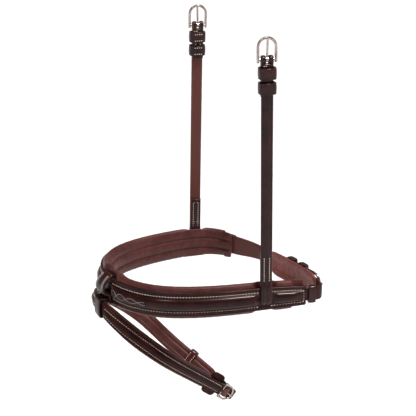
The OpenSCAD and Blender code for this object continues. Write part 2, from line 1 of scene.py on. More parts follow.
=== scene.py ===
import json
import math
import bmesh
import bpy
import numpy as np
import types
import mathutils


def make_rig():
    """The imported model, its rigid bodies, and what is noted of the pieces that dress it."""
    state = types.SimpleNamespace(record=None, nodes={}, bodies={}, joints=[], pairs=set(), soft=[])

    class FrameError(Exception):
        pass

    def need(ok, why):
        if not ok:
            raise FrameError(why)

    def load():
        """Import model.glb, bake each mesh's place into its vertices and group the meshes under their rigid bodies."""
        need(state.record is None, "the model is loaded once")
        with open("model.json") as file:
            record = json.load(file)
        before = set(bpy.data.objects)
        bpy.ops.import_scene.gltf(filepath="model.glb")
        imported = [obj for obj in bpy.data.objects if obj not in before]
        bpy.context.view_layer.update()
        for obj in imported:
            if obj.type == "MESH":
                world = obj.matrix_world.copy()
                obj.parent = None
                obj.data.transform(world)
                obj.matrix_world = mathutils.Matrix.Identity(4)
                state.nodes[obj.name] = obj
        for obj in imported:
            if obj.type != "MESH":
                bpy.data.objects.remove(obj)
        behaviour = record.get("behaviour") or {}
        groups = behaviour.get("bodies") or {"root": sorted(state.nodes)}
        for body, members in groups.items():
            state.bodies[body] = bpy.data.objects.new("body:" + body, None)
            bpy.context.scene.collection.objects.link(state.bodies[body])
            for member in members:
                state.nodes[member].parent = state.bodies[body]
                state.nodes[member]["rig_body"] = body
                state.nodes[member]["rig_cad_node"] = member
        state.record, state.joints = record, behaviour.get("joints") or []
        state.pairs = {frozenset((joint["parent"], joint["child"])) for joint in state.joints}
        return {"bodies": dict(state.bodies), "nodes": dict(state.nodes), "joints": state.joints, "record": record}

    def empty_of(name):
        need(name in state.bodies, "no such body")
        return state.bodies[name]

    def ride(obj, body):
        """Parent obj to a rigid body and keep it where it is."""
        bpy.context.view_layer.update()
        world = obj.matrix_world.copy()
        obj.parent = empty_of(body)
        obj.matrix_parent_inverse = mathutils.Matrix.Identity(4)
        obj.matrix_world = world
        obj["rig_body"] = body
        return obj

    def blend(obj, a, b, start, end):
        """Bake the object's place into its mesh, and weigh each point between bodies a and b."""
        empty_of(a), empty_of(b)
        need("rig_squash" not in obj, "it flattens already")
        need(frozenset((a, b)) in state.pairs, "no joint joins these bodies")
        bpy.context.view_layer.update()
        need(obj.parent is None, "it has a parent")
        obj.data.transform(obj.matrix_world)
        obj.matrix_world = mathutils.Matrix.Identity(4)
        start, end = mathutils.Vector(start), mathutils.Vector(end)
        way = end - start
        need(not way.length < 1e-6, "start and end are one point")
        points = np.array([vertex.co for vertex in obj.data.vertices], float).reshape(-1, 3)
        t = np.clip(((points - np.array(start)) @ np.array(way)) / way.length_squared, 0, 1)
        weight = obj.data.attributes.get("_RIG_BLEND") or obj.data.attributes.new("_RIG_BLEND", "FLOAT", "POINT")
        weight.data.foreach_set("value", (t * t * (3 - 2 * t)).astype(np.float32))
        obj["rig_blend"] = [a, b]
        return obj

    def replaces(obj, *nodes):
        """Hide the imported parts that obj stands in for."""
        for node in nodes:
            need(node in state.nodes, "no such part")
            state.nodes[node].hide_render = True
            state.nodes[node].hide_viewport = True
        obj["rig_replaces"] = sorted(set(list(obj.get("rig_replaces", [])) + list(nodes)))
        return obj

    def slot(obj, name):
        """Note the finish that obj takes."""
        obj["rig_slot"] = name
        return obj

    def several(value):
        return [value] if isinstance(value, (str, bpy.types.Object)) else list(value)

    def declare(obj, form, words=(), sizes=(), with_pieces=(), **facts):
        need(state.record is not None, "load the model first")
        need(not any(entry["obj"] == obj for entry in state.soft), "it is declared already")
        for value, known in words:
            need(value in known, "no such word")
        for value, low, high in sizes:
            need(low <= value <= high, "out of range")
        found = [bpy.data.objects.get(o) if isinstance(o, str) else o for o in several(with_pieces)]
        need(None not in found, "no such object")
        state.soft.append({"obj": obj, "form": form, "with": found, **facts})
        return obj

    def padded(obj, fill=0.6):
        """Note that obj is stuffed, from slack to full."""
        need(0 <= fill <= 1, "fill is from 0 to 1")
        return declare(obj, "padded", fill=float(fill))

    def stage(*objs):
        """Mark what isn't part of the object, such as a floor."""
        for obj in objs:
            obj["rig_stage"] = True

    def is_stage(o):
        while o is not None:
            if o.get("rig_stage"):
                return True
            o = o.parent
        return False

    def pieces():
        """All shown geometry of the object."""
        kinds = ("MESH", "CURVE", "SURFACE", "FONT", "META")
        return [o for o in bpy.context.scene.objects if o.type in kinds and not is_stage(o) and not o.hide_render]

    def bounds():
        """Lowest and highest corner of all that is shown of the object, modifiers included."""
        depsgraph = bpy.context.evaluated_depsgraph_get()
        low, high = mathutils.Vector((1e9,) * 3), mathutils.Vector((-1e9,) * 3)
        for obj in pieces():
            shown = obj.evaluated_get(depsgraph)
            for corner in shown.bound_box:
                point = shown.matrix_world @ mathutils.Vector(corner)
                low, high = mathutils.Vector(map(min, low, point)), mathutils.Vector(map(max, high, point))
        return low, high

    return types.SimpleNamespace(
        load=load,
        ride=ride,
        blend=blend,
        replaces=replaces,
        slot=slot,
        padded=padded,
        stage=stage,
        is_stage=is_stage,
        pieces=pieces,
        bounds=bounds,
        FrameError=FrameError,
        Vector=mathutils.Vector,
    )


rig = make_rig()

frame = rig.load()
boxAtLoad = [list(corner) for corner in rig.bounds()]
nodes = frame["nodes"]
mm = 0.001

noseband = {
    "points": [(-108, 18), (-74, -48), (3, -73), (88, -82), (121, -100),
               (112, -24), (81, 63), (57, 90), (22, 98), (-81, 85)],
    "nose": 0.12, "near": 2.57, "far": -2.46, "nearEnd": 3.28, "farEnd": -3.78, "chinBar": 4.66,
    "tuck": 0.22, "noseHeight": 30, "endHeight": 22.4, "thickness": 3, "roll": 4.2, "rollShare": 0.44,
    "stitchShare": 0.63, "stitchPitch": 3.2,
}
rub = 0.15   # clearance between leathers that lie together
gap = 0.3    # clearance between pieces that move on each other
seam = 0.04  # half the gap between two legs of one folded leather


# a smooth step from 0 to 1: three squares less two cubes
def smooth(t):
    s = np.clip(t, 0, 1)
    return s * s * (3 - 2 * s)


# a uniform cubic B-spline: each point is a weighted mean of the four control points around it
def curve(points, u, closed=True):
    k = np.asarray(points, float)
    u = np.atleast_1d(np.asarray(u, float))
    i = np.floor(u).astype(int)
    t = (u - i)[:, None]
    s = 1 - t
    at = (lambda j: k[j % len(k)]) if closed else (lambda j: k[np.clip(j, 0, len(k) - 1)])
    return (s**3 * at(i - 1) + (3 * t**3 - 6 * t * t + 4) * at(i)
            + (3 * s**3 - 6 * s * s + 4) * at(i + 1) + t**3 * at(i + 2)) / 6


# position, direction, outward direction and speed along a loop at curve value u; a caller that
# needs only the position and the outward direction takes every second one
def loopFrame(points, u, closed=True):
    h = 1e-3
    p = curve(points, u, closed)
    d = (curve(points, np.asarray(u) + h, closed) - curve(points, np.asarray(u) - h, closed)) / (2 * h)
    speed = np.linalg.norm(d, axis=1)
    d = d / speed[:, None]
    return p, d, np.stack([d[:, 1], -d[:, 0]], 1), speed


ring = noseband["points"]
speedAt = {place: loopFrame(ring, noseband[place])[3][0] for place in ("nose", "near", "far", "chinBar")}


# maps local points (back along the loop, outward, up) to the world, held stiff at one place of the loop
def stiffAt(u, points=ring, closed=True):
    p, d, o = loopFrame(points, u, closed)[:3]

    def place(q):
        return np.stack([p[0, 0] - d[0, 0] * q[..., 0] + o[0, 0] * q[..., 1],
                         p[0, 1] - d[0, 1] * q[..., 0] + o[0, 1] * q[..., 1], q[..., 2]], -1)
    return place


# the same, but bent round with the loop
def bentAt(u, points=ring, closed=True):
    speed = loopFrame(points, u, closed)[3][0]

    def place(q):
        p, o = loopFrame(points, (u - q[..., 0] / speed).ravel(), closed)[::2]
        y = q[..., 1].ravel()[:, None]
        return np.concatenate([p + o * y, q[..., 2].ravel()[:, None]], 1).reshape(q.shape)
    return place


# puts mesh, light or camera data into the scene under its own name
def addToScene(name, data):
    made = bpy.data.objects.new(name, data)
    bpy.context.scene.collection.objects.link(made)
    return made


# a mesh from points in millimetres: doubles are merged and its faces turned outwards
def newObject(name, vertices, faces, uv=None):
    mesh = bpy.data.meshes.new(name)
    mesh.from_pydata((np.asarray(vertices) * mm).tolist(), [], faces)
    if uv is not None:
        layer = mesh.uv_layers.new(name="UVMap")
        layer.data.foreach_set("uv", (np.asarray(uv) * mm).astype(np.float32).ravel())
    work = bmesh.new()
    work.from_mesh(mesh)
    bmesh.ops.remove_doubles(work, verts=work.verts, dist=1e-7)
    bmesh.ops.recalc_face_normals(work, faces=work.faces)
    work.to_mesh(mesh)
    work.free()
    mesh.polygons.foreach_set("use_smooth", np.ones(len(mesh.polygons), bool))
    return addToScene(name, mesh)


# a closed tube over a grid: rings of points, closed round each ring, with flat caps at both ends
# or joined end to end; the UV map holds millimetres along and round the piece
def tube(name, grid, along, around, joined=False):
    n, m = grid.shape[:2]
    last = n if joined else n - 1
    j, i = np.meshgrid(np.arange(last), np.arange(m), indexing="ij")
    j2, i2 = (j + 1) % n, (i + 1) % m
    quads = np.stack([j * m + i, j2 * m + i, j2 * m + i2, j * m + i2], -1).reshape(-1, 4)
    along = np.append(along, 2 * along[-1] - along[-2]) if joined else along
    around = np.append(around, around[-1] + around[1] - around[0])
    uv = np.stack([np.stack([along[j + a], around[i + b]], -1)
                   for a, b in ((0, 0), (1, 0), (1, 1), (0, 1))], 2)
    uv = uv.reshape(-1, 2)
    faces = quads.tolist()
    if not joined:
        faces += [list(range(m))[::-1], list(range((n - 1) * m, n * m))]
        uv = np.concatenate([uv, np.tile([along[0], 0], (m, 1)), np.tile([along[-1], 0], (m, 1))])
    return newObject(name, grid.reshape(-1, 3), faces, uv)


# distance along a line of points
def lengths(points):
    steps = np.linalg.norm(np.diff(points, axis=0), axis=1)
    return np.concatenate([[0], np.cumsum(steps)])


# points along a line of corners, evenly spaced, with the corners eased by averaging neighbours
def evenLine(corners, step, ease=0):
    corners = np.asarray(corners, float)
    s = lengths(corners)
    t = np.linspace(0, s[-1], max(4, int(s[-1] / step)))
    line = np.stack([np.interp(t, s, corners[:, a]) for a in range(corners.shape[1])], 1)
    for unused in range(ease):
        line[1:-1] = (line[:-2] + 2 * line[1:-1] + line[2:]) / 4
    return line


# outline of a strap across its width, as (through, across) pairs and the distance round from the
# middle of its face: a flat bar with round corners, a slightly crowned face and a creased line
# pressed in near each edge
def strapSection(width, thickness, crown=0.25, crease=0.18, creaseIn=1.5, corner=0.8):
    half, r = width / 2, min(corner, thickness * 0.48)
    z = np.sin(np.linspace(-0.5 * math.pi, 0.5 * math.pi, 15))
    nearCrease = [side * (half - creaseIn) + np.linspace(-0.5, 0.5, 5) for side in (-1, 1)]
    face = np.unique(np.concatenate([z * (half - r)] + nearCrease))
    face = face[np.abs(face) <= half - r]
    fromCrease = np.abs(face) - half + creaseIn
    lift = crown * (1 - (face / half) ** 2) - crease * np.exp(-(fromCrease / 0.22) ** 2)
    a = np.linspace(0, math.pi / 2, 5)[1:-1]
    up = np.stack([thickness / 2 - r + r * np.cos(a), half - r + r * np.sin(a)], 1)
    down = np.stack([-thickness / 2 + r - r * np.sin(a), half - r + r * np.cos(a)], 1)
    back = np.stack([np.full(9, -thickness / 2), np.linspace(half - r, -half + r, 9)], 1)
    pts = np.concatenate([np.stack([thickness / 2 + lift, face], 1), up, [[0, half]], down, back,
                          down[::-1] * [1, -1], [[0, -half]], up[::-1] * [1, -1]])
    start = len(face) // 2
    around = lengths(pts)
    return pts, around - around[start]


# a strap whose middle line is given in a plane: u along its normal, v across it
def planeStrap(name, line, width, thickness, place=lambda q: q, taper=None,
               relief=None, **look):
    d = np.gradient(line, axis=0)
    d /= np.linalg.norm(d, axis=1)[:, None]
    normal = np.stack([-d[:, 1], d[:, 0]], 1)
    section, around = strapSection(width, thickness, **look)
    wide = np.ones(len(line)) if taper is None else taper(lengths(line))
    grid = np.empty((len(line), len(section), 3))
    through = np.tile(section[:, 0], (len(line), 1))
    if relief is not None:
        through += relief(lengths(line)[:, None], section[None, :, 1]) * smooth(2 * through / thickness)
    grid[..., :2] = line[:, None] + normal[:, None] * through[..., None]
    grid[..., 2] = section[None, :, 1] * wide[:, None]
    return tube(name, place(grid), lengths(line), around)


# the round tip of a strap: its half width follows a circle over the last few millimetres
def roundTip(length, reach, atEnd=True, least=0.06):
    def taper(s):
        left = (length - s) if atEnd else s
        t = np.clip(1 - left / reach, 0, 1)
        return np.maximum(np.sqrt(1 - t * t), least)
    return taper


# a band bent into a closed loop with round corners; inner size a by b, wall t, and length w
def loopBand(name, a, b, t, w, place, centre=(0, 0), corner=1.6, crown=0.25, crease=0.3, belly=0.6):
    r = min(corner, a / 2 - 0.05)
    middle = t / 2
    q = np.linspace(0, math.pi / 2, 7)
    corners = [(a / 2 - r, b / 2 - r, 0), (-a / 2 + r, b / 2 - r, 1), (-a / 2 + r, -b / 2 + r, 2),
               (a / 2 - r, -b / 2 + r, 3)]
    pts, nrm = [], []
    for x, y, k in corners:
        ang = q + k * math.pi / 2
        n = np.stack([np.cos(ang), np.sin(ang)], 1)
        pts.append(np.array([x, y]) + n * (r + middle))
        nrm.append(n)
    pts, nrm = np.concatenate(pts), np.concatenate(nrm)
    # long sides are cut into short steps and bow out by a half sine
    side = np.roll(pts, -1, 0) - pts
    size = np.linalg.norm(side, axis=1)
    cuts = np.maximum(1, (size / 1.2).astype(int))
    k = np.repeat(np.arange(len(pts)), cuts)
    f = ((np.arange(cuts.sum()) - (np.cumsum(cuts) - cuts)[k]) / cuts[k])[:, None]
    bow = np.where(cuts > 3, belly * np.minimum(1, size / 10), 0)[k, None] * np.sin(math.pi * f)
    pts = pts[k] + side[k] * f + nrm[k] * bow
    d = np.roll(pts, -1, 0) - np.roll(pts, 1, 0)
    d /= np.linalg.norm(d, axis=1)[:, None]
    nrm = np.stack([d[:, 1], -d[:, 0]], 1)
    section, around = strapSection(w, t, crown=crown, crease=crease, creaseIn=1.7, corner=0.6)
    grid = np.empty((len(pts), len(section), 3))
    grid[..., 0] = section[None, :, 1]
    grid[..., 1:] = pts[:, None] + nrm[:, None] * section[None, :, :1] + np.asarray(centre)
    return tube(name, place(grid), lengths(pts), around, joined=True)


# one stitch is a short thread bowed between its two holes: a five-sided tube whose middle stands up
def stitchRow(name, points, normals, length=1.6, radius=0.46, lift=0.2):
    points, normals = np.asarray(points, float), np.asarray(normals, float)
    d = np.gradient(points, axis=0)
    d /= np.linalg.norm(d, axis=1)[:, None]
    side = np.cross(d, normals)
    side /= np.linalg.norm(side, axis=1)[:, None]
    up = np.cross(side, d)
    t = np.array([-1, -0.7, 0, 0.7, 1])
    rise = lift + radius * 0.6 * (1 - t * t) - radius * 0.9 * t**4
    thick = radius * np.array([0.35, 0.85, 1, 0.85, 0.35])
    ang = np.linspace(0, 2 * math.pi, 6, endpoint=False)
    local = np.zeros((len(t), len(ang), 3))
    local[..., 0] = (t * length / 2)[:, None]
    local[..., 1] = thick[:, None] * np.cos(ang)
    local[..., 2] = rise[:, None] + thick[:, None] * np.sin(ang)
    v = (points[:, None, None] + d[:, None, None] * local[None, ..., :1]
         + side[:, None, None] * local[None, ..., 1:2] + up[:, None, None] * local[None, ..., 2:])
    n, m = len(t), len(ang)
    j, i = np.meshgrid(np.arange(n - 1), np.arange(m), indexing="ij")
    quads = np.stack([j * m + i, (j + 1) * m + i, (j + 1) * m + (i + 1) % m, j * m + (i + 1) % m], -1)
    base = np.arange(len(points))[:, None] * n * m
    sides = quads.reshape(1, -1, 4) + base[..., None]
    caps = [base + np.arange(m)[::-1], base + (n - 1) * m + np.arange(m)]
    faces = sides.reshape(-1, 4).tolist() + np.concatenate(caps).tolist()
    return newObject(name, v.reshape(-1, 3), faces)


# even steps along a dense line of points
def evenSteps(points, normals, pitch):
    s = lengths(points)
    count = max(2, int(round(s[-1] / pitch)))
    t = (np.arange(count) + 0.5) * s[-1] / count
    spots, n = [np.stack([np.interp(t, s, a[:, k]) for k in range(3)], 1) for a in (points, normals)]
    return spots, n / np.linalg.norm(n, axis=1)[:, None]


# a row of stitches on a face: the normal is the way from its line to one a millimetre further out
def sewnRow(place, x, y, z, outward, pitch, **look):
    x, y, z = np.broadcast_arrays(np.asarray(x, float), y, z)
    line, above = [place(np.stack([x, y + outward * rise, z], -1)) for rise in (0, 1)]
    return stitchRow("row", *evenSteps(line, above - line, pitch), **look)


# joins pieces into the first one and names it
def joinAs(name, parts):
    bpy.ops.object.select_all(action="DESELECT")
    for p in parts:
        p.select_set(True)
    bpy.context.view_layer.objects.active = parts[0]
    bpy.ops.object.join()
    parts[0].name = name
    return parts[0]


# wraps one socket, so that sums and products of values add their own Math nodes
class Value:
    def __init__(self, nodes, socket):
        self.nodes, self.socket = nodes, socket

    def sum(self, operation, *others):
        return self.nodes.node("ShaderNodeMath", {"operation": operation}, [self, *others])[0]

    def __add__(self, other):
        return self.sum("ADD", other)

    def __sub__(self, other):
        return self.sum("SUBTRACT", other)

    def __rsub__(self, other):
        return self.nodes.node("ShaderNodeMath", {"operation": "SUBTRACT"}, [other, self])[0]

    def __mul__(self, other):
        return self.sum("MULTIPLY", other)

    def __abs__(self):
        return self.sum("ABSOLUTE")

    __radd__, __rmul__ = __add__, __mul__


# the nodes of one material or of the world; shader is the node that everything feeds
class Nodes:
    def __init__(self, owner, shader):
        self.made = owner
        owner.use_nodes = True
        self.tree = owner.node_tree
        self.shader = self.tree.nodes[shader]

    # adds a node: its settings first, then its sockets, by order or by name; returns its outputs
    def node(self, kind, settings=None, sockets=()):
        n = self.tree.nodes.new(kind)
        for key, value in (settings or {}).items():
            if key == "stops":
                ramp = n.color_ramp
                while len(ramp.elements) < len(value):
                    ramp.elements.new(0.5)
                for e, (at, colour) in zip(ramp.elements, value):
                    e.position, e.color = at, colour
            else:
                setattr(n, key, value)
        for key, value in sockets.items() if isinstance(sockets, dict) else enumerate(sockets):
            self.feed(n.inputs[key], value)
        return [Value(self, o) for o in n.outputs]

    def feed(self, target, value):
        if isinstance(value, Value):
            self.tree.links.new(value.socket, target)
        else:
            target.default_value = value

    def set(self, **sockets):
        for key, value in sockets.items():
            self.feed(self.shader.inputs[key.replace("_", " ")], value)


# a material whose nodes feed its Principled shader
class Material(Nodes):
    def __init__(self, name):
        super().__init__(bpy.data.materials.new(name), "Principled BSDF")

    def place(self):
        return self.node("ShaderNodeTexCoord")[3]

    def mixColour(self, share, a, b, blend="MIX"):
        return self.node("ShaderNodeMix", {"data_type": "RGBA", "blend_type": blend},
                         {0: share, 6: a, 7: b})[2]

    def noise(self, where, scale, detail=3.0, rough=0.55):
        return self.node("ShaderNodeTexNoise", {}, {"Vector": where, "Scale": scale, "Detail": detail,
                                                    "Roughness": rough})[0]

    def ramp(self, share, low, high):
        return self.node("ShaderNodeMapRange", {"interpolation_type": "SMOOTHSTEP"},
                         {"Value": share, "From Min": low, "From Max": high})[0]

    # leather grain: 1 inside a pebble, falling to 0 at the creases between pebbles
    def pebbles(self, where, scale, randomness, width):
        cells = self.node("ShaderNodeTexVoronoi", {"feature": "DISTANCE_TO_EDGE"},
                          {"Vector": where, "Scale": scale, "Randomness": randomness})[0]
        return self.ramp(cells, 0.0, width)

    def bump(self, strength, distance, height):
        return self.node("ShaderNodeBump", {}, {"Strength": strength, "Distance": distance,
                                                "Height": height})[0]


# a colour made darker or lighter
def shade(colour, factor):
    return tuple(c * factor for c in colour[:3]) + (1,)


leatherLook = {"dark": (0.008, 0.0018, 0.0016), "light": (0.031, 0.0070, 0.0060),
               "worn": (0.085, 0.030, 0.026, 1), "flesh": (0.105, 0.034, 0.027, 1), "grainScale": 900,
               "fineScale": 2600, "driftScale": 38, "streakScale": 240, "bump": 0.28, "depth": 0.00022,
               "coatRoughness": 0.16, "coatTint": (1, 0.86, 0.86, 1), "specular": 0.12}
liningLook = {"dark": (0.050, 0.0130, 0.0108), "light": (0.094, 0.026, 0.0225), "grainScale": 700,
              "driftScale": 30, "foldScale": 150, "bump": 0.3, "depth": 0.00025, "specular": 0.30,
              "shine": (1, 0.66, 0.64, 1), "sheen": 0.06, "sheenTint": (0.8, 0.45, 0.42, 1)}
steelLook = {"dark": (0.30, 0.235, 0.215, 1), "light": (0.50, 0.42, 0.39, 1), "cloudScale": 160,
             "scratchScale": 1400.0, "bump": 0.08, "depth": 0.0001}
threadLook = {"cream": (1.0, 0.76, 0.60), "grey": (0.42, 0.35, 0.34), "shadow": 0.72, "plyScale": 2200,
              "driftScale": 70, "bump": 0.35, "depth": 0.0001, "roughness": 0.62}


# strap leather: fine pebbled grain, slow colour drift, paler rubbed edges and a waxy sheen
def leatherMaterial(name, tint=1.0, fleshFrom=None, gloss=0.32, coat=0.22, shine=(1, 0.55, 0.53, 1)):
    m, look = Material(name), leatherLook
    where = m.place()
    pebble = m.pebbles(where, look["grainScale"], 0.9, 0.22)
    fine = m.noise(where, look["fineScale"], 2.0, 0.6)
    drift = m.noise(where, look["driftScale"], 4.0, 0.6)
    streak = m.noise(where, look["streakScale"], 3.0, 0.6)
    tone = m.ramp(drift * 0.65 + streak * 0.35, 0.36, 0.66)
    dark = shade(look["dark"], tint)
    colour = m.mixColour(tone, dark, shade(look["light"], tint))
    colour = m.mixColour((1 - pebble) * 0.35, colour, shade(dark, 0.5))
    pointiness = m.node("ShaderNodeNewGeometry")[7]
    colour = m.mixColour(m.ramp(pointiness, 0.52, 0.60) * 0.45, colour, look["worn"])
    if fleshFrom is not None:
        across = m.node("ShaderNodeSeparateXYZ", {}, [m.node("ShaderNodeUVMap")[0]])[1]
        flesh = m.ramp(abs(across), (fleshFrom - 0.3) * mm, (fleshFrom + 0.3) * mm)
        colour = m.mixColour(flesh * 0.85, colour, look["flesh"])
    rough = gloss + drift * 0.16 + (1 - pebble) * 0.18
    bump = m.bump(look["bump"], look["depth"], pebble * 0.6 + fine * 0.25 + streak * 0.5)
    m.set(Base_Color=colour, Roughness=rough, Normal=bump, Coat_Weight=coat,
          Coat_Roughness=look["coatRoughness"], Coat_Tint=look["coatTint"],
          Specular_IOR_Level=look["specular"], Specular_Tint=shine)
    return m.made


# soft lining leather: larger grain, cloudy colour and shallow folds
def liningMaterial(name, tint=1.0):
    m, look = Material(name), liningLook
    where = m.place()
    pebble = m.pebbles(where, look["grainScale"], 1.0, 0.3)
    drift = m.noise(where, look["driftScale"], 5.0, 0.6)
    fold = m.noise(where, look["foldScale"], 2.0, 0.5)
    dark = shade(look["dark"], tint)
    colour = m.mixColour(m.ramp(drift * 0.6 + fold * 0.4, 0.34, 0.68), dark, shade(look["light"], tint))
    colour = m.mixColour((1 - pebble) * 0.25, colour, shade(dark, 0.6))
    m.set(Base_Color=colour, Roughness=0.36 + drift * 0.16,
          Normal=m.bump(look["bump"], look["depth"], pebble * 0.5 + fold * 0.9),
          Specular_IOR_Level=look["specular"], Specular_Tint=look["shine"], Sheen_Weight=look["sheen"],
          Sheen_Roughness=0.5, Sheen_Tint=look["sheenTint"])
    return m.made


# polished wire: a slight drift of tone and fine scratches in its roughness
def steelMaterial(name):
    m, look = Material(name), steelLook
    where = m.place()
    cloud = m.noise(where, look["cloudScale"], 3.0, 0.6)
    scratch = m.node("ShaderNodeTexNoise", {}, {"Vector": where, "Scale": look["scratchScale"],
                                                "Detail": 3.0, "Distortion": 1.5})[0]
    m.set(Base_Color=m.mixColour(m.ramp(cloud, 0.3, 0.7), look["dark"], look["light"]), Metallic=1.0,
          Roughness=0.16 + scratch * 0.14, Normal=m.bump(look["bump"], look["depth"], scratch))
    return m.made


# waxed thread: two plies wound round each other, with its colour drifting a little
def threadMaterial(name, colour):
    m, look = Material(name), threadLook
    where = m.place()
    ply = m.noise(where, look["plyScale"], 2.0, 0.5)
    drift = m.noise(where, look["driftScale"], 3.0, 0.6)
    tone = m.mixColour(m.ramp(drift * 0.5 + ply * 0.5, 0.35, 0.65), shade(colour, look["shadow"]),
                       shade(colour, 1))
    m.set(Base_Color=tone, Roughness=look["roughness"],
          Normal=m.bump(look["bump"], look["depth"], ply))
    return m.made


materials = {
    "strap": leatherMaterial("strapLeather"),
    "flash": leatherMaterial("flashLeather", gloss=0.36, coat=0.07, shine=(1, 0.40, 0.36, 1)),
    "keeper": leatherMaterial("keeperLeather", tint=1.1, gloss=0.27, coat=0.34,
                              shine=(1, 0.84, 0.86, 1)),
    "thin": leatherMaterial("billetLeather", tint=1.15, fleshFrom=8.6),
    "cheek": leatherMaterial("cheekLeather", fleshFrom=7.4, coat=0.32, shine=(1, 0.72, 0.76, 1)),
    "lining": liningMaterial("liningLeather"),
    # the chin pad is the lining leather made 2.9 times lighter: partly its own paler tone, mostly a painted highlight
    # over the whole pad
    "pad": liningMaterial("chinPadLeather", tint=2.9),
    "steel": steelMaterial("buckleSteel"),
    "thread": threadMaterial("creamThread", threadLook["cream"]),
    "fineThread": threadMaterial("greyThread", threadLook["grey"]),
    "band": leatherMaterial("softBandLeather", tint=2.6, gloss=0.30, coat=0.3, shine=(1, 0.80, 0.82, 1)),
    "guard": leatherMaterial("guardLeather", tint=1.5, gloss=0.5, coat=0.06, shine=(1, 0.5, 0.45, 1)),
    # a dark leather for the hole discs: painted shade where the punched holes would open
    "hole": leatherMaterial("punchedHole", tint=0.35, gloss=0.7),
}


# gives a piece its material, its body, its slot, the CAD nodes it stands for and its filling
def dress(piece, material, body, slotName=None, replaced=(), fill=None):
    piece.data.materials.clear()
    piece.data.materials.append(materials[material])
    if body is not None:
        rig.ride(piece, body)
    if replaced:
        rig.replaces(piece, *replaced)
    if slotName:
        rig.slot(piece, slotName)
    if fill is not None:
        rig.padded(piece, fill=fill)
    return piece


for name, node in nodes.items():
    if "buckle_frame" in name or "buckle_tongue" in name:
        for k in range(max(1, len(node.material_slots))):
            if not node.material_slots:
                node.data.materials.append(materials["steel"])
            node.material_slots[k].material = materials["steel"]
        node.data.polygons.foreach_set("use_smooth", np.ones(len(node.data.polygons), bool))
print("materials made")

# the straps that go round the noseband
cheek = {"width": 12.5, "thickness": 2.5, "flexHeight": 21, "barHeight": 263, "lean": 1,
         "returnLength": 30, "foldLength": 38, "stitchPitch": 3.0, "lobeGap": 3.2,
         "column": 2.9}
hanger = {"width": 16, "thickness": 2.4, "bulge": 8.5, "neckHeight": -6.3,
          "stitchInsets": (1.5, 2.7, 3.9), "stitchPitch": 1.7}
cheekHalf = cheek["width"] / 2 + 0.6
hangerHalf = hanger["width"] / 2 + 0.3


# half height of the leather at curve value u
def leatherHalf(u):
    n = noseband
    return np.interp(u, [n["farEnd"], n["far"], n["nose"], n["near"], n["nearEnd"]],
                     [n["endHeight"] / 2, n["noseHeight"] / 2 - 1.6, n["noseHeight"] / 2,
                      n["noseHeight"] / 2 - 1.6, n["endHeight"] / 2])


# 1 where a strap passes behind the leather, easing to 0 over a few millimetres beside it
def strapOver(u, ramp=3.0):
    share = np.zeros_like(u)
    for place, half in (("near", cheekHalf), ("far", cheekHalf), ("nose", hangerHalf)):
        away = np.abs(u - noseband[place]) * speedAt[place] - half
        share = np.maximum(share, 1 - smooth(away / ramp))
    return share


endSpeed = 60  # millimetres along the loop for one unit of curve value, near a padded end


# curve value left to the nearer padded end
def leftToEnd(u):
    return np.minimum(noseband["nearEnd"] - u, u - noseband["farEnd"])


# half height near a padded end: a squared quarter circle closes the last few millimetres
def endRound(u, reach=5.0, power=3.0):
    t = np.clip(1 - leftToEnd(u) * endSpeed / reach, 0, 1)
    return np.maximum(1 - t**power, 0) ** (1 / power)


nosebandU = np.linspace(noseband["farEnd"], noseband["nearEnd"], 560)
ringP, ringO = loopFrame(ring, nosebandU)[::2]
nosebandS = lengths(ringP)


# carries (outward, up) pairs along the loop
def alongRing(outUp, p=ringP, o=ringO):
    grid = np.empty(outUp.shape[:2] + (3,))
    grid[..., :2] = p[:, None] + o[:, None] * outUp[..., :1]
    grid[..., 2] = outUp[..., 1]
    return grid


# height of the leather's face at share z of its half height: a flat flap, a stitched channel,
# then a crowned roll between two pressed valleys
def leatherFace(z, roll):
    a = np.abs(z)
    edge = noseband["rollShare"]
    swell = np.clip(1 - (a / (edge + 0.07)) ** 2, 0, 1) ** 0.7
    valley = np.exp(-((a - edge - 0.09) / 0.03) ** 2)
    channel = np.exp(-((a - noseband["stitchShare"]) / 0.045) ** 2)
    crease = np.exp(-((a - 0.86) / 0.022) ** 2)
    return noseband["thickness"] + roll * swell - 0.5 * valley - 0.4 * channel - 0.35 * crease


# how far the roll stands out: it is pressed down under the straps and dies away at both ends
def rollAt(u):
    return noseband["roll"] * (1 - 0.9 * strapOver(u, 7.0)) * smooth(leftToEnd(u) / 0.3)


# points on the leather's face at curve values u and shares of its half height, lifted a little
def leatherSpot(u, share, above=0.0):
    p, o = loopFrame(ring, u)[::2]
    out = leatherFace(share, rollAt(u)) + above
    return np.concatenate([p + o * out[:, None], (share * leatherHalf(u))[:, None]], 1)


# the leather: its face across the width, and a flat back, carried along the loop
def makeNosebandLeather():
    z = np.concatenate([np.linspace(-1, -0.9, 6), np.linspace(-0.88, 0.88, 89), np.linspace(0.9, 1, 6)])
    h = leatherHalf(nosebandU) * (0.84 + 0.16 * endRound(nosebandU))
    roll = rollAt(nosebandU)
    edge = np.sqrt(np.clip(1 - np.clip((np.abs(z) - 0.94) / 0.06, 0, 1) ** 2, 0, 1))
    face = leatherFace(z[None], roll[:, None]) * (0.35 + 0.65 * edge)
    outUp = np.stack([face, h[:, None] * z[None]], -1)
    backZ = np.linspace(1, -1, 9)[1:-1]
    back = np.stack([np.full((len(h), len(backZ)), 0.05), h[:, None] * backZ[None]], -1)
    foot = np.stack([np.full((len(h), 1), 0.4), h[:, None] * 0.995], -1)
    other = foot * [1, -1]
    outUp = np.concatenate([outUp, foot, back, other], 1)
    around = lengths(outUp[280])
    return tube("noseband_outer_leather", alongRing(outUp), nosebandS, around - around[50])


dress(makeNosebandLeather(), "strap", "noseband", "leather", ["noseband_leather"])


# a squared circle: cosine and sine, each raised to a power that keeps its sign
def squaredCircle(roundness):
    q = np.linspace(0, 2 * math.pi, 96, endpoint=False)
    return q, *(np.sign(w) * np.abs(w) ** (2 / roundness) for w in (np.cos(q), np.sin(q)))


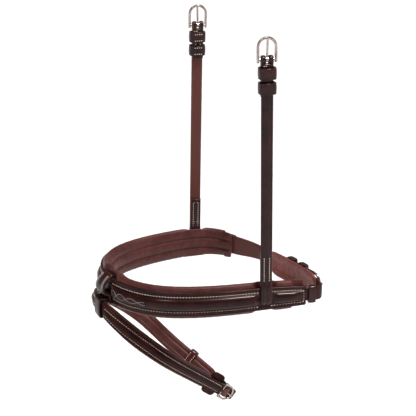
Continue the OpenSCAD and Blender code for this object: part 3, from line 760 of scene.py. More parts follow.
# a soft rounded section: a squared circle, grooved along its inner face, with small random folds
def softSection(u, half, depth, lip, groove, grooves, roundness, seed, folds):
    q, x, z = squaredCircle(roundness)
    middle, reach = (lip - depth) / 2, (lip + depth) / 2
    out = middle[:, None] + reach[:, None] * x[None]
    up = half[:, None] * z[None]
    inner = np.clip(-x, 0, 1)[None] ** 3
    line = sum(deep * np.exp(-((np.abs(z) - g) / wide) ** 2)
               for g in grooves for deep, wide in ((0.6, 0.06), (0.5, 0.16)))
    out = out + groove[:, None] * inner * line[None]
    random = np.random.default_rng(seed)
    wobble = np.zeros_like(out)
    for k in range(9):
        kx, kq, phase = random.uniform(20, 90), random.integers(1, 7), random.uniform(0, 6.28)
        wobble += np.sin(u[:, None] * kx + q[None] * kq + phase) / (3 + k)
    swell = folds[:, None] * wobble
    return np.stack([out + swell * x[None], up + swell * z[None]], -1), q


lining = {"show": 4.6, "lip": 2.2, "depth": 9.0, "pressed": 3.4, "groove": 2.3, "roundness": 2.3,
          "ramp": 8.0, "besideRamp": 14.0, "endRound": 9, "endPressed": 14, "foldSize": 0.10,
          "besideFold": 0.22, "bulgeFrom": 14, "bulgeReach": 10, "bulgeHalf": 2.0, "bulgeLip": 0.5,
          "bulgeDepth": 2.6, "seed": 7}


# 1 along most of a piece, closing like a quarter circle over the last millimetres of length left
def closingAt(left, reach, least=0.02):
    t = np.clip(1 - left / reach, 0, 1)
    return np.sqrt(np.maximum(1 - t * t, least))


# the lining: a soft section all along, pressed in behind straps and ends, and full beside the hanger
def makeLining():
    keep = slice(4, -4)
    u = nosebandU[keep]
    left = leftToEnd(u) * endSpeed
    closing = closingAt(left, lining["endRound"])
    over = strapOver(u, lining["ramp"])
    pressed = np.maximum(over, 1 - smooth((left - lining["endPressed"]) / 4))
    beside = strapOver(u, lining["besideRamp"]) - over
    fromNose = np.abs(u - noseband["nose"]) * speedAt["nose"]
    bulge = np.exp(-((fromNose - lining["bulgeFrom"]) / lining["bulgeReach"]) ** 2)
    half = ((leatherHalf(u) + lining["show"]) * (0.80 + 0.20 * closing) - 0.5 * over
            + lining["bulgeHalf"] * bulge)
    lip = lining["lip"] * (1 - pressed) - lining["pressed"] * pressed + lining["bulgeLip"] * bulge
    depth = lining["depth"] * (0.55 + 0.45 * closing) + lining["bulgeDepth"] * bulge
    outUp, q = softSection(u, half, depth, lip, lining["groove"] * closing, (0.36, ),
                           lining["roundness"], lining["seed"],
                           lining["foldSize"] + lining["besideFold"] * beside)
    return tube("noseband_soft_lining", alongRing(outUp, ringP[keep], ringO[keep]), nosebandS[keep],
                q * 12)


dress(makeLining(), "lining", "noseband", "lining", ["noseband_padding"], fill=0.8)


# two rows of stitches along the leather, turning round its padded ends
def nosebandStitches():
    n = noseband
    inset = 0.05
    u = np.linspace(n["farEnd"] + inset, n["nearEnd"] - inset, 900)
    p, o = loopFrame(ring, u)[::2]
    turn = np.clip(1 - (leftToEnd(u) - inset) / 0.07, 0, 1)
    up = leatherHalf(u) * n["stitchShare"] * np.clip(1 - turn**4, 0, 1) ** 0.25
    lift = leatherFace(np.full_like(u, n["stitchShare"]), np.zeros_like(u))
    upper, lower = [np.concatenate([p + o * lift[:, None], (side * up)[:, None]], 1) for side in (1, -1)]
    line = np.concatenate([upper, lower[::-1]])
    normal = np.concatenate([np.concatenate([o, np.zeros((len(o), 1))], 1)] * 2)
    normal[len(o):] = normal[:len(o)][::-1]
    points, normals = evenSteps(line, normal, n["stitchPitch"])
    hidden = np.zeros(len(points), bool)
    for place, half in (("near", cheekHalf), ("far", cheekHalf), ("nose", hangerHalf + 1)):
        centre = loopFrame(ring, n[place])[0][0]
        hidden |= np.linalg.norm(points[:, :2] - centre, axis=1) < half
    return stitchRow("noseband_stitching", points[~hidden], normals[~hidden])


dress(nosebandStitches(), "thread", "noseband")


# a plain sewn ornament beside the hanger: two waves of thread that cross and die away
def makeOrnament():
    rows = []
    away = np.linspace(hangerHalf + 4, hangerHalf + 46, 220)
    t = (away - away[0]) / (away[-1] - away[0])
    for side in (-1, 1):
        u = noseband["nose"] + side * away / speedAt["nose"]
        for phase in (-1, 1):
            share = phase * (0.30 - 0.19 * t) * np.sin(3.5 * math.pi * t**0.8)
            line = leatherSpot(u, share)
            rows.append(stitchRow("row", *evenSteps(line, leatherSpot(u, share, 1.0) - line, 1.5),
                                  length=1.45, radius=0.18, lift=0.08))
    return joinAs("noseband_ornament_stitching", rows)


dress(makeOrnament(), "fineThread", "noseband")
print("noseband made")

keeper = {"height": 11.6, "thickness": 2.2, "slot": 2.8, "gapBetween": 3.6, "topBelowBar": 7.8}
bandStitch = {"pitch": 2.4, "length": 1.5, "radius": 0.34}
buckle = {"bar": 1.25, "wire": 1.4, "reach": 21.5, "tilt": 6}


# the strap's middle line in the plane (outward, up): from the end folded back below the buckle, up
# round its bar, down the face, round the noseband, and up behind to the sewn return end
def cheekLine():
    c, t = cheek, cheek["thickness"]
    leg = t / 2 + seam
    seat = 0.6 * t
    r = buckle["bar"] + 0.2 + t / 2
    bar = c["barHeight"]
    loopOut = noseband["thickness"] + rub + t / 2
    loopIn = -0.45 - t / 2
    radius, middle = (loopOut - loopIn) / 2, (loopOut + loopIn) / 2
    turn = np.radians(np.linspace(215, -35, 26))
    under = np.radians(np.linspace(0, -180, 18))
    lobe = [[seat - leg, bar - 3.4 * r], [seat - leg, bar - 1.6 * r]]
    lobe += [[seat + r * math.cos(a), bar + r * math.sin(a)] for a in turn]
    lobe += [[seat + leg, bar - 1.6 * r], [seat + leg, bar - 3.4 * r]]
    short = [[seat - leg, bar - c["foldLength"]], [seat - leg, bar - 1.7 * r]]
    corners = [[seat + leg, bar - 1.7 * r], [seat + leg, c["flexHeight"] + 1],
                [seat + leg + 0.4, c["flexHeight"] - 3.4],
                [loopOut + 0.1, noseband["noseHeight"] / 2 - 1.2]]
    corners += [[middle + radius * math.cos(a), -1.6 + radius * math.sin(a)] for a in under]
    corners += [[loopIn, noseband["noseHeight"] / 2 - 2.5], [seat - leg - 0.2, c["flexHeight"] - 3.4],
                [seat - leg, c["flexHeight"] + 2],
                [seat - leg, c["flexHeight"] + 2.8 + c["returnLength"]]]
    return evenLine(corners, 0.9, ease=2), evenLine(lobe, 0.6, ease=2), evenLine(short, 0.9)


# the strap leans outward in step with its height above the flex line
def leaning(place):
    tangent = math.tan(math.radians(cheek["lean"]))

    def lean(q):
        q = q.copy()
        q[..., 0] += np.maximum(q[..., 2] - cheek["flexHeight"], 0) * tangent
        return place(q)
    return lean


# local points of a strap are (outward, up, across): reorder them to (across, outward, up)
def upright(place):
    return lambda q: place(np.stack([q[..., 2], q[..., 0], q[..., 1]], -1))


# local points of an upright band are (across, outward, up) at height z: its length runs up
def standing(place, z):
    return lambda q: place(np.stack([q[..., 2], q[..., 1], q[..., 0] + z], -1))


# the same place moved by a fixed step
def shifted(place, step):
    return lambda q: place(q + np.array(step))


# how far the strap's face stands out at a distance along it and a place across it: two ridges with
# a valley between them where it goes round the noseband, and a pressed middle where it is sewn
def cheekRelief(s, z):
    fold = cheek["barHeight"] - cheek["flexHeight"] - 5
    loop = smooth((s - fold) / 5) * smooth((fold + 32 - s) / 6)
    sewn = smooth((s - fold + cheek["returnLength"] + 4) / 4) * smooth((fold - s) / 4)
    ridges = np.exp(-((np.abs(z) - 2.7) / 1.5) ** 2)
    valley = np.exp(-(z / 1.1) ** 2)
    plain = smooth((s - 4) / 4) * smooth((fold - cheek["returnLength"] - 8 - s) / 6)
    return (loop * (1.1 * ridges - 0.9 * valley) - 0.5 * sewn * np.exp(-(z / 1.6) ** 2)
            + plain * (0.45 * np.exp(-(z / 2.0) ** 2) - 0.2 * np.exp(-((np.abs(z) - 3.4) / 0.5) ** 2)))


# rows of stitches across one face of a band: its level in y, its half height and its insets
def bandRows(place, y, outward, halfAcross, insets):
    across = np.linspace(-halfAcross, halfAcross, 24)
    return [sewnRow(place, x, y, across, outward, bandStitch["pitch"], length=bandStitch["length"],
                    radius=bandStitch["radius"]) for x in insets]


# the strap, its folded end with two lobes round the buckle bar, and the stitches of both
def makeCheekStrap(side, place):
    body, lobe, short = cheekLine()
    width, t, pitch = cheek["width"], cheek["thickness"], cheek["stitchPitch"]
    bar, flexHeight = cheek["barHeight"], cheek["flexHeight"]
    strap = planeStrap(side + "_cheek_leather", body, width, t, upright(place), relief=cheekRelief,
                       crown=0.75, crease=0.3, creaseIn=2.1)
    lobeWide = (width - cheek["lobeGap"]) / 2
    parts = [planeStrap(side + "_cheek_chape", short, width, t, upright(place))]
    for x in (-1, 1):
        parts.append(planeStrap("lobe", lobe, lobeWide, t,
                                shifted(upright(place), [0, 0, x * (width - lobeWide) / 2]),
                                crown=0.35, crease=0.1, creaseIn=1.2))
    dress(joinAs(side + "_cheek_chape", parts), "cheek", side + "_cheek", "leather")
    flexAt = stiffAt(noseband[side])(np.array([0, 1.5, flexHeight])) * mm
    flexStart, flexEnd = tuple(flexAt - [0, 0, 0.004]), tuple(flexAt + [0, 0, 0.005])
    dress(strap, "cheek", None, "leather",
          [f"{side}_cheek_loop", f"{side}_cheek_strap", f"{side}_cheek_return"])
    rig.blend(strap, "noseband", side + "_cheek", start=flexStart, end=flexEnd)
    face = 1.6 * t + seam + 0.12
    back = -0.4 * t - seam
    foot = noseband["noseHeight"] / 2 + 3.5
    high = flexHeight + cheek["returnLength"] - 1
    column = cheek["column"]
    sew = np.linspace(foot, high, 60)
    rows = [sewnRow(place, x, y, sew, outward, pitch) for x in (-column, column)
            for y, outward in ((face, 1), (back, -1))]
    # short rows across both ends of the sewn part, behind
    across = np.linspace(-column, column, 12)
    rows += [sewnRow(place, across, back, level, -1, pitch) for level in (high, flexHeight + 4)]
    dress(joinAs(side + "_cheek_stitching", rows), "thread", None)
    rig.blend(rows[0], "noseband", side + "_cheek", start=flexStart, end=flexEnd)
    # the chape has a short row below the bar on each face, and two columns behind
    across = np.linspace(0.4, 4.8, 9)
    chape = [sewnRow(place, across, face, bar - 6.4, 1, 2.4, lift=0.3),
             sewnRow(place, -across, back, bar - 7, -1, 2.4, lift=0.3)]
    sew = np.linspace(bar - cheek["foldLength"] + 3, bar - 8, 40)
    chape += [sewnRow(place, x, back, sew, -1, pitch) for x in (-2.6, 2.6)]
    dress(joinAs(side + "_chape_stitching", chape), "thread", side + "_cheek")


# two keepers on a cheek strap: one fixed below the buckle, one that slides
def makeCheekKeepers(side, place):
    t, wall = cheek["thickness"], keeper["thickness"]
    inY = 2 * t + keeper["slot"] + gap
    back = -0.4 * t - gap
    high = cheek["barHeight"] - keeper["topBelowBar"] - keeper["height"] / 2
    low = high - keeper["height"] - keeper["gapBetween"]
    for kind, body, middle in (("cheek_keeper", "cheek", high), ("cheek_runner", "runner", low)):
        hold = standing(place, middle)
        band = loopBand(f"{side}_{kind}_band", inY, cheek["width"] + 2 * gap, wall, keeper["height"],
                        hold, centre=(back + inY / 2, 0))
        dress(band, "keeper", f"{side}_{body}", "keeper_leather", [f"{side}_{kind}"])
        rows = bandRows(hold, back - wall - 0.55, -1, cheek["width"] / 2 - 1.5, (-3.6, 3.6))
        dress(joinAs(f"{side}_{kind}_band_stitching", rows), "thread", f"{side}_{body}")


for side in ("near", "far"):
    cheekPlace = leaning(stiffAt(noseband[side]))
    makeCheekStrap(side, cheekPlace)
    makeCheekKeepers(side, cheekPlace)
print("cheek straps made")

chin = {"width": 16, "billetThickness": 2.2, "padHeight": 29, "tail": 62,
        "holes": (18, 44, 54)}  # holes: millimetres past the bar
barAt = noseband["chinBar"]
barSpeed = speedAt["chinBar"]
farEndUp = noseband["farEnd"] + len(ring)
crownAt = barAt - buckle["reach"] / barSpeed


# the billet's middle line, outward from the loop: sewn in behind the leather, out under the
# buckle's crown, over its bar, and down on to the chin strap
def billetOut(u):
    t, b = cheek["thickness"], chin["billetThickness"]
    crownY = t / 2 + buckle["reach"] * math.sin(math.radians(buckle["tilt"]))
    under = crownY - buckle["wire"] - gap - b / 2
    overBar = buckle["bar"] + 0.2 + t + rub + b / 2 + t / 2
    overStrap = 1.5 * t + rub + b / 2
    sewn = -rub - b / 2
    x = (barAt - u) * barSpeed
    outAt = noseband["nearEnd"] + 0.1
    rise = sewn + (under - sewn) * smooth((u - outAt) / (crownAt - outAt))
    over = under + (overBar - under) * smooth((buckle["reach"] - 4 - x) / (buckle["reach"] - 7))
    down = overStrap + (overBar - overStrap) * smooth((x + 14) / 10)
    return np.select([x > buckle["reach"] - 4, x > 3, x > -4], [rise, over, overBar], down)


# points along a loop, each moved outward by its own distance
def offsetLine(points, u, out, closed=True):
    p, o = loopFrame(points, u, closed)[::2]
    return p + o * np.asarray(out)[:, None]


# the chin billet, from inside the leather to its round tip
def makeBillet():
    end = barAt + chin["tail"] / barSpeed
    u = np.linspace(noseband["nearEnd"] - noseband["tuck"] + 0.02, end, 170)
    line = evenLine(offsetLine(ring, u, billetOut(u)), 0.8)
    total = lengths(line)[-1]
    # the path runs with the loop, so its left side faces inward: reversed, it faces outward
    return planeStrap("noseband_billet_leather", line[::-1], chin["width"] - 1, chin["billetThickness"],
                      taper=roundTip(total, 9, atEnd=False))


dress(makeBillet(), "thin", "noseband", "leather", ["noseband_billet"])


# punched holes: a dark disc of painted shade in place of an open hole, inside a low pressed rim, a profile of
# (radius, height) pairs turned round each hole's centre
def punchedHoles(name, centres, outward, radius=1.5):
    q = np.linspace(0, 2 * math.pi, 24, endpoint=False)
    profile = np.array([(0.02, 0.10), (radius - 0.1, 0.10), (radius, 0.22), (radius + 0.35, 0.26),
                        (radius + 0.6, 0.1), (radius + 0.6, -0.3), (0.02, -0.3)])
    n = outward / np.linalg.norm(outward, axis=1)[:, None]
    x = np.cross(n, [0, 0, 1.0])
    x /= np.linalg.norm(x, axis=1)[:, None]
    y = np.cross(n, x)
    spokes = x[:, None] * np.cos(q)[:, None] + y[:, None] * np.sin(q)[:, None]
    grids = (centres[:, None, None] + spokes[:, None] * profile[:, 0, None, None]
             + n[:, None, None] * profile[:, 1, None, None])
    return joinAs(name, [tube("hole", grid, np.arange(len(profile)) * 1.0, q) for grid in grids])


holeU = barAt + np.array(chin["holes"]) / barSpeed
holeP, holeO = loopFrame(ring, holeU)[::2]
holeOut = billetOut(holeU) + chin["billetThickness"] / 2 + 0.22
level = np.zeros((len(holeU), 1))
# the hole discs take the dark hole leather: painted shade on the billet's face
dress(punchedHoles("noseband_billet_holes", np.concatenate([holeP + holeO * holeOut[:, None], level], 1),
                   np.concatenate([holeO, level], 1)), "hole", "noseband")


# the chin strap's middle line: along the loop, rising to the bar, round it and back underneath
def chinStrapLine():
    t = cheek["thickness"]
    u = np.linspace(farEndUp + noseband["tuck"] - 0.02, barAt + 8 / barSpeed, 80)
    sewn = -rub - t / 2
    out = sewn + (t - sewn) * smooth((farEndUp - 0.04 - u) / 0.5)
    main = offsetLine(ring, u, out)
    hold = stiffAt(barAt)
    r = buckle["bar"] + 0.2 + t / 2
    leg = t / 2 + seam
    turn = np.radians(np.linspace(125, -125, 22))
    local = [[-2.4 * r, t / 2 + leg]] + [[r * math.cos(a), t / 2 + r * math.sin(a)] for a in turn]
    local += [[-2.4 * r, t / 2 - leg], [-26, t / 2 - leg]]
    local = np.array(local)
    fold = hold(np.concatenate([local, np.zeros((len(local), 1))], 1))[:, :2]
    return evenLine(np.concatenate([main, fold]), 0.8, ease=2)


dress(planeStrap("chin_strap_leather", chinStrapLine(), chin["width"], cheek["thickness"],
                 taper=lambda s: 1 + 0.5 * (1 - smooth(s / 70))),
      "thin", "noseband", "leather", ["chin_strap"])


# the chin pad: a soft section, hollowed along its middle and pressed back under the keepers
def makeChinPad():
    a, b = barAt - 30 / barSpeed, barAt + 50 / barSpeed
    u = np.linspace(a, b, 150)
    left = np.minimum(u - a, b - u) * barSpeed
    closing = closingAt(left, 9, 0.01)
    x = (barAt - u) * barSpeed
    under = -cheek["thickness"] / 2
    back = under - rub - 0.4
    deep = under - 2 * gap - (keeper["thickness"] - 0.4)
    face = back + (deep - back) * smooth(np.minimum(x + 43, 10 - x) / 3)
    half = chin["padHeight"] / 2 * (0.55 + 0.45 * closing)
    depth = -(back - 6.2) * (0.6 + 0.4 * closing)
    outUp, q = softSection(u, half, depth, face, 2.6 * closing, (0.68,), 2.3, 3, np.full_like(u, 0.14))
    sunk = np.exp(-(outUp[..., 1] / half[:, None] / 0.58) ** 8) * np.clip(-np.cos(q), 0, 1)[None] ** 2
    outUp[..., 0] += 3.2 * sunk * closing[:, None]
    p, o = loopFrame(ring, u)[::2]
    return tube("chin_soft_pad", alongRing(outUp, p, o), lengths(p), q * 12)


dress(makeChinPad(), "pad", "noseband", "lining", ["chin_pad"], fill=0.75)

chinIn = 3.2 * cheek["thickness"] + chin["billetThickness"] + 2 * gap
for node, body, back in (("chin_keeper", "noseband", -13), ("chin_runner", "chin_runner", -30)):
    hold = stiffAt(barAt - back / barSpeed)
    band = loopBand(node + "_band", chinIn, chin["width"] + 3 * gap, keeper["thickness"] - 0.4, 9,
                    hold, centre=(-cheek["thickness"] / 2 - gap + chinIn / 2, 0))
    dress(band, "keeper", body, "keeper_leather", [node])
billetRunnerU = noseband["nearEnd"] + 0.17
band = loopBand("billet_runner_band", chin["billetThickness"] + 2 * gap, chin["width"] + gap,
                keeper["thickness"], 8, stiffAt(billetRunnerU),
                centre=(billetOut(np.array([billetRunnerU]))[0], 0))
dress(band, "keeper", "billet_runner", "keeper_leather", ["billet_runner"])
print("chin closure made")

flash = {
    "points": [(206, 0), (181, 3), (154, 28), (118, 57), (104, 105), (42, 99), (-6.5, 42),
               (-16, -6), (4, -23), (41, -38), (74, -46), (122, -34), (168, -24), (212, -15)],
    "drop": 42, "farEnd": 1.1, "runner": 2.1, "nose": 7, "nearEnd": 12.1, "width": 17, "endWidth": 14,
    "thickness": 2.5, "roll": 2.0, "padding": 4.4, "show": 1.9, "pressed": 2.2, "stitchShare": 0.56,
    "stitchPitch": 3.0,
}

# the flash lies in a plane of its own, turned down at the nose
noseP = loopFrame(ring, noseband["nose"])[0][0]
flashSeat = np.array([noseP[0] - 5.4, noseP[1], -noseband["noseHeight"] / 2 - 15])
dropCos, dropSin = math.cos(math.radians(flash["drop"])), math.sin(math.radians(flash["drop"]))


# from the flash's plane to the world: turned down about the width, at its seat
def flashToWorld(q):
    return np.stack([flashSeat[0] + q[..., 0] * dropCos + q[..., 2] * dropSin, flashSeat[1] + q[..., 1],
                     flashSeat[2] - q[..., 0] * dropSin + q[..., 2] * dropCos], -1)


# the flash strap stands upright at the nose and twists into its plane on both sides
def flashTwist(u):
    return np.radians(flash["drop"]) * (1 - smooth(np.abs(u - flash["nose"]) / 2.2))


# how far the flash rises out of its plane beside the nose
def flashRise(u):
    return 2.7 * (1 - smooth(np.abs(u - flash["nose"]) / 1.8))


# turns (outward, across) pairs by the twist and lifts them by the rise
def twisted(u, q):
    w = flashTwist(u)
    return np.stack([q[..., 0] * np.cos(w) + q[..., 1] * np.sin(w),
                     q[..., 1] * np.cos(w) - q[..., 0] * np.sin(w) + flashRise(u)], -1)


# stiff local place on the flash: back along it, outward, and across
def atFlash(u):
    hold = stiffAt(u, flash["points"], False)

    def place(q):
        turned = twisted(np.full(q.shape[:-1], float(u)), q[..., 1:])
        return flashToWorld(hold(np.concatenate([q[..., :1], turned], -1)))
    return place


# half width at curve value u, widest at the nose
def flashHalf(u):
    return np.interp(u, [flash["farEnd"], flash["nose"], flash["nearEnd"]],
                     [flash["endWidth"] / 2, flash["width"] / 2, flash["endWidth"] / 2])


# 0 under the keeper at the nose, 1 beside it
def flashSqueeze(u):
    return smooth((np.abs(u - flash["nose"]) - 0.25) / 0.3)


# carries (outward, across) pairs along the flash, twisted as it is
def alongFlash(u, outUp):
    p, o = loopFrame(flash["points"], u, False)[::2]
    turned = twisted(u[:, None], outUp)
    grid = np.empty(outUp.shape[:2] + (3,))
    grid[..., :2] = p[:, None] + o[:, None] * turned[..., :1]
    grid[..., 2] = turned[..., 1]
    return flashToWorld(grid)


# the flash's face at share z of its half width: a crowned roll, a channel and a crease
def flashFace(z, roll):
    a = np.abs(z)
    swell = np.clip(1 - (a / 0.43) ** 2, 0, 1) ** 0.75
    channel = np.exp(-((a - flash["stitchShare"]) / 0.06) ** 2)
    crease = np.exp(-((a - 0.82) / 0.035) ** 2)
    return flash["thickness"] + roll * swell - 0.35 * channel - 0.3 * crease


flashU = np.linspace(flash["farEnd"], flash["nearEnd"], 520)
flashS = lengths(loopFrame(flash["points"], flashU, False)[0])


# the flash leather: its face and a flat back, carried along the loop
def makeFlashStrap():
    z = np.concatenate([np.linspace(-1, -0.9, 6), np.linspace(-0.86, 0.86, 53), np.linspace(0.9, 1, 6)])
    h = flashHalf(flashU)
    roll = flash["roll"] * flashSqueeze(flashU)
    edge = np.sqrt(np.clip(1 - np.clip((np.abs(z) - 0.9) / 0.1, 0, 1) ** 2, 0, 1))
    face = flashFace(z[None], roll[:, None]) * (0.4 + 0.6 * edge)
    outUp = np.stack([face, h[:, None] * z[None]], -1)
    backZ = np.linspace(1, -1, 9)[1:-1]
    back = np.stack([np.full((len(h), len(backZ)), 0.05), h[:, None] * backZ[None]], -1)
    outUp = np.concatenate([outUp, back], 1)
    around = lengths(outUp[260])
    return tube("flash_outer_leather", alongFlash(flashU, outUp), flashS, around - around[32])


dress(makeFlashStrap(), "flash", "flash", "leather", ["flash_strap"])


# the flash padding: a soft section, pressed thin under the keeper
def makeFlashPadding():
    u = flashU[3:-24]
    s = flashS[3:-24]
    left = np.minimum(s - s[0], s[-1] - s)
    closing = closingAt(left, 7)
    squeeze = flashSqueeze(u)
    half = (flashHalf(u) + flash["show"]) * (0.6 + 0.4 * closing)
    depth = (flash["padding"] - flash["pressed"] * (1 - squeeze)) * (0.6 + 0.4 * closing)
    lip = 0.4 * squeeze
    outUp, q = softSection(u, half, depth, lip, 1.5 * closing * squeeze, (0.42,), 2.2, 11,
                           0.07 * squeeze)
    return tube("flash_soft_padding", alongFlash(u, outUp), s, q * 8)


dress(makeFlashPadding(), "lining", "flash", "lining", ["flash_padding"], fill=0.8)


# two rows of stitches on each side of the flash's keeper
def flashStitches():
    u = np.linspace(flash["farEnd"] + 0.1, flash["nearEnd"] - 0.08, 900)
    keep = np.abs(u - flash["nose"]) > 0.33
    z = flash["stitchShare"]
    out = flashFace(np.array([z]), np.array([flash["roll"]]))[0]
    rows = []
    for side in (-1, 1):
        for part in (u[keep & (u < flash["nose"])], u[keep & (u > flash["nose"])]):
            up = side * z * flashHalf(part)
            line, above = [alongFlash(part, np.stack([np.full_like(part, level), up], -1)[:, None])[:, 0]
                           for level in (out, out + 1)]
            rows.append(stitchRow("row", *evenSteps(line, above - line, flash["stitchPitch"]),
                                  length=1.6, radius=0.42))
    return joinAs("flash_stitching", rows)


dress(flashStitches(), "thread", "flash")

# keeper at the nose, with a little more room behind because the flash bends inside it
nosePad = flash["padding"] - flash["pressed"] + 0.7
bend = 1.1
dress(loopBand("flash_keeper_band", flash["thickness"] + nosePad + 2 * gap + bend,
               flash["width"] + 2 * flash["show"] + 2 * gap, 1.6, 13, atFlash(flash["nose"]),
               centre=((flash["thickness"] - nosePad - bend) / 2, 0)),
      "keeper", "flash", "keeper_leather", ["flash_keeper"])
# the keeper that slides, with stitches inside and outside
runnerIn = flash["thickness"] + 0.9 + flash["padding"] + 1.2
runnerTall = 2 * (flashHalf(flash["runner"]) + flash["show"] + 0.6)
runnerWall = keeper["thickness"] - 0.6
runnerMiddle = (flash["thickness"] + 0.9 - flash["padding"]) / 2
runnerPlace = atFlash(flash["runner"])
dress(loopBand("flash_runner_band", runnerIn, runnerTall, runnerWall, 9.5, runnerPlace,
               centre=(runnerMiddle, 0)), "band", "flash_runner", "keeper_leather", ["flash_runner"])
rows = []
for outward in (-1, 1):
    rows += bandRows(runnerPlace, runnerMiddle + outward * (runnerIn / 2 + runnerWall + 0.6), outward,
                     runnerTall / 2 - 2, (-3.1, 3.1))
dress(joinAs("flash_runner_stitching", rows), "thread", "flash_runner")


# hanger: a band round the noseband, thick and rounded in front, with a neck that holds the keeper
def makeHanger():
    h, t = hanger, hanger["thickness"]
    z = noseband["noseHeight"] / 2 + rub + t / 2
    face = noseband["thickness"] + rub + t / 2
    inner = -rub - t / 2
    front, neck = h["bulge"], h["neckHeight"]
    corners = [[inner, -z + 1], [inner + 1, -z], [face - 1, -z], [face, -z + 1], [face, neck + 1.2],
               [face + front * 0.8, neck + 3.4], [face + front * 0.95, 0], [face + front * 0.9, 6],
               [face + front * 0.5, 11], [face - 0.4, z - 1.2], [face - 2, z], [inner + 1, z],
               [inner, z - 1], [inner, -z + 1]]
    path = evenLine(corners, 0.8)
    for unused in range(6):
        path[:-1] = (np.roll(path[:-1], 1, 0) + 2 * path[:-1] + np.roll(path[:-1], -1, 0)) / 4
        path[-1] = path[0]
    path = path[:-1]
    d = np.roll(path, -1, 0) - np.roll(path, 1, 0)
    d /= np.linalg.norm(d, axis=1)[:, None]
    out = np.stack([d[:, 1], -d[:, 0]], 1)
    section, around = strapSection(h["width"], t, crown=0.5, crease=0.25, creaseIn=1.4, corner=0.9)
    grid = np.empty((len(path), len(section), 3))
    grid[..., 0] = section[None, :, 1]
    grid[..., 1:] = path[:, None] + out[:, None] * section[None, :, :1]
    band = tube("flash_hanger_band", bentAt(noseband["nose"])(grid), lengths(path), around, joined=True)
    return band, path, out


hangerBand, hangerPath, hangerNormal = makeHanger()
dress(hangerBand, "keeper", "noseband", "keeper_leather", ["flash_hanger"])


# rows of fine stitches along both edges of the hanger's front
def hangerStitches():
    faceOut = noseband["thickness"] + rub
    front = (hangerPath[:, 0] > faceOut + 0.6) & (hangerPath[:, 1] > hanger["neckHeight"] + 7)
    path, out = hangerPath[front], hangerNormal[front]
    order = np.argsort(path[:, 1])
    path, out = path[order], out[order]
    rows = []
    for inset in hanger["stitchInsets"]:
        for side in (-1, 1):
            x = np.full((len(path), 1), side * (hanger["width"] / 2 - inset))
            line, above = [bentAt(noseband["nose"])(np.concatenate(
                [x, path + out * (hanger["thickness"] / 2 + rise)], 1)) for rise in (0.25, 1.25)]
            rows.append(stitchRow("row", *evenSteps(line, above - line, hanger["stitchPitch"]),
                                  length=1.35, radius=0.34))
    return joinAs("flash_hanger_stitching", rows)


dress(hangerStitches(), "fineThread", "noseband")

# the neck between hanger and keeper
neck = [[hanger["thickness"] + noseband["thickness"] - 1, hanger["neckHeight"]],
        [noseband["thickness"] + rub + hanger["thickness"] + 2.6, hanger["neckHeight"]]]
dress(planeStrap("flash_hanger_neck", evenLine(neck, 0.5), hanger["width"] - 6, 2.2,
                 upright(stiffAt(noseband["nose"])), corner=1.0, crease=0, crown=0),
      "keeper", "noseband", "keeper_leather")
print("flash straps made")

flashBuckle = {"back": -7, "rail": 2, "crown": -19, "wire": 1.2, "bar": 1.1, "chape": 1.9,
               "guardLong": 23, "guardWide": 29, "guardThick": 2.4, "billetWidth": 12, "billetThick": 2}
atBuckle = atFlash(flash["nearEnd"])


centreY = -flash["thickness"] + 0.3


# the chape folded round the bar, as two lobes beside the tongue
def makeChape():
    r = flashBuckle["bar"] + 0.2 + flashBuckle["chape"] / 2
    leg = flashBuckle["chape"] / 2 + seam
    turn = np.radians(np.linspace(35, 325, 26))
    corners = [[14, leg], [-0.6, leg]]
    corners += [[flashBuckle["back"] + r * math.cos(a), r * math.sin(a)] for a in turn]
    corners += [[-0.6, -leg], [14, -leg]]
    line = evenLine(np.array(corners) + [0, centreY], 0.6, ease=2)
    parts = []
    width = (flash["endWidth"] - 2 - 3.6) / 2
    for side in (-1, 1):
        parts.append(planeStrap("lobe", line, width, flashBuckle["chape"],
                                shifted(atBuckle, [0, 0, side * (width / 2 + 1.8)]), corner=0.6,
                                crease=0.1))
    return joinAs("flash_chape_leather", parts)


dress(makeChape(), "thin", "flash", "leather", ["flash_chape"])


# guard: a plate with round corners, its edge rolled over
def makeGuard():
    a, b, t = flashBuckle["guardLong"] / 2, flashBuckle["guardWide"] / 2, flashBuckle["guardThick"]
    q, x, z = squaredCircle(4.5)
    face = np.concatenate([np.linspace(0.05, 0.8, 6), [0.86, 0.9, 0.94]])
    edge = np.linspace(0, math.pi, 7)
    shares = np.concatenate([face, 0.955 + 0.045 * np.sin(edge[1:-1]), face[::-1]])
    heights = np.concatenate([t / 2 - 0.16 * np.exp(-((face - 0.86) / 0.02) ** 2),
                              t / 2 * np.cos(edge[1:-1]), np.full(len(face), -t / 2)])
    grid = np.empty((len(shares), len(q), 3))
    grid[..., 0] = shares[:, None] * a * x[None] + a - 2
    grid[..., 1] = heights[:, None] - flash["padding"] - rub - t / 2
    grid[..., 2] = shares[:, None] * b * z[None]
    return tube("flash_guard_leather", atBuckle(grid), shares * 20, q * 10)


dress(makeGuard(), "guard", "flash", "leather", ["flash_guard"])


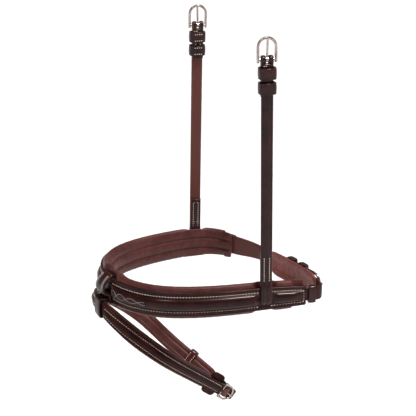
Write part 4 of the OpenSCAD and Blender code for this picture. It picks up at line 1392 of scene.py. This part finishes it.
# the billet: a quadratic curve from the flash's end, a turn back, and on over the bar
def makeFlashBillet():
    p, d, o = loopFrame(flash["points"], flash["nearEnd"], False)[:3]
    farP, farD, farO = loopFrame(flash["points"], flash["farEnd"], False)[:3]
    axes = np.stack([-d[0], o[0]])
    start = axes @ (farP[0] + farO[0] * flash["thickness"] / 2 - farD[0] * rub - p[0])
    heading = axes @ -farD[0]
    under = flashBuckle["rail"] - flashBuckle["wire"] - rub - flashBuckle["billetThick"] / 2 - 0.2
    wide, thick, crown = flashBuckle["billetWidth"], flashBuckle["billetThick"], flashBuckle["crown"]
    over = centreY + flashBuckle["bar"] + 0.2 + flashBuckle["chape"] + rub + thick / 2
    r = 4.4
    turnX = crown - 4.5
    s = np.linspace(0, 1, 9)[:, None]
    ease = ((1 - s) ** 2 * start + 2 * s * (1 - s) * (start + heading * 14)
            + s * s * np.array([turnX + 6, under - 2 * r]))
    turn = np.radians(np.linspace(270, 90, 16))
    arc = np.stack([turnX + r * np.cos(turn), under - r + r * np.sin(turn)], 1)
    rest = [[crown, under], [crown + 2, under], [-14.6, under + 0.7], [-12, over - 0.8], [-9, over],
            [-5.6, over], [-2.9, over]]
    line = evenLine(np.concatenate([ease, arc, rest]), 0.6, ease=3)
    total = lengths(line)[-1]
    return planeStrap("flash_billet_leather", line[::-1], wide, thick, atBuckle,
                      taper=roundTip(total, 4, atEnd=False))


dress(makeFlashBillet(), "thin", "flash", "leather", ["flash_billet"])
print("flash buckle made")

studio = {"floorSpan": 25.0, "floorBelow": 0.16, "floorColour": (0.93, 0.93, 0.93, 1),
          "horizon": 0.85, "overhead": 0.10, "sunPower": 3.4, "sunAngle": 11,
          "sunWay": (-0.2, 0.34, -0.92)}
lamps = {"keyLight": ((-0.75, -0.7, 1.5), (0, 0, 0.03), 0.22, 6),
         "fillLight": ((1.4, -0.5, 1.1), (0, 0, 0.03), 0.25, 4),
         "topLight": ((0.1, 0.8, 2.0), (0, 0, 0.0), 0.5, 6)}
view = {"lens": 90.9, "sensor": 36, "place": (-0.386, -0.994, 0.514), "way": (0.347, 0.860, -0.375)}

low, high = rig.bounds()
span, floorHeight = studio["floorSpan"], low[2] - studio["floorBelow"]
floorMesh = bpy.data.meshes.new("floor")
floorMesh.from_pydata([(x * span, y * span, floorHeight)
                       for x, y in ((-1, -1), (1, -1), (1, 1), (-1, 1))], [], [(0, 1, 2, 3)])
floor = addToScene("floor", floorMesh)
paper = Material("paperFloor")
paper.set(Base_Color=studio["floorColour"], Roughness=0.9)
floor.data.materials.append(paper.made)
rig.stage(floor)

# the world is pale at the horizon, where the floor ends, and dim overhead
sky = Nodes(bpy.data.worlds.new("studio"), "Background")
bpy.context.scene.world = sky.made
up = sky.node("ShaderNodeSeparateXYZ", {}, [sky.node("ShaderNodeTexCoord")[0]])[2]
fade = sky.node("ShaderNodeMapRange", {}, {"Value": up, "From Min": 0.02, "From Max": 0.4,
                                           "To Min": studio["horizon"], "To Max": studio["overhead"]})[0]
sky.set(Color=(1, 1, 1, 1), Strength=fade)


# the turn that makes a lamp or camera face along a direction
def facing(way):
    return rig.Vector(way).to_track_quat("-Z", "Y").to_euler()


# a square lamp at a place, facing a target
def areaLight(name, place, target, size, power):
    lamp = bpy.data.lights.new(name, "AREA")
    lamp.size, lamp.energy = size, power
    made = addToScene(name, lamp)
    made.location = place
    made.rotation_euler = facing(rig.Vector(target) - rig.Vector(place))


for name, (place, target, size, power) in lamps.items():
    areaLight(name, place, target, size, power)
# one wide light from high above keeps the whole floor evenly bright
sun = bpy.data.lights.new("skyLight", "SUN")
sun.energy, sun.angle = studio["sunPower"], math.radians(studio["sunAngle"])
addToScene("skyLight", sun).rotation_euler = facing(studio["sunWay"])

cameraData = bpy.data.cameras.new("camera")
cameraData.lens, cameraData.sensor_width, cameraData.clip_start = view["lens"], view["sensor"], 0.01
camera = addToScene("camera", cameraData)
camera.location = view["place"]
camera.rotation_euler = facing(view["way"])
bpy.context.scene.camera = camera
bpy.context.scene.view_settings.view_transform = "Standard"

bpy.context.view_layer.update()
with open("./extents.json", "w") as f:
    json.dump({"cad": boxAtLoad, "visual": [list(corner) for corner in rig.bounds()]}, f)
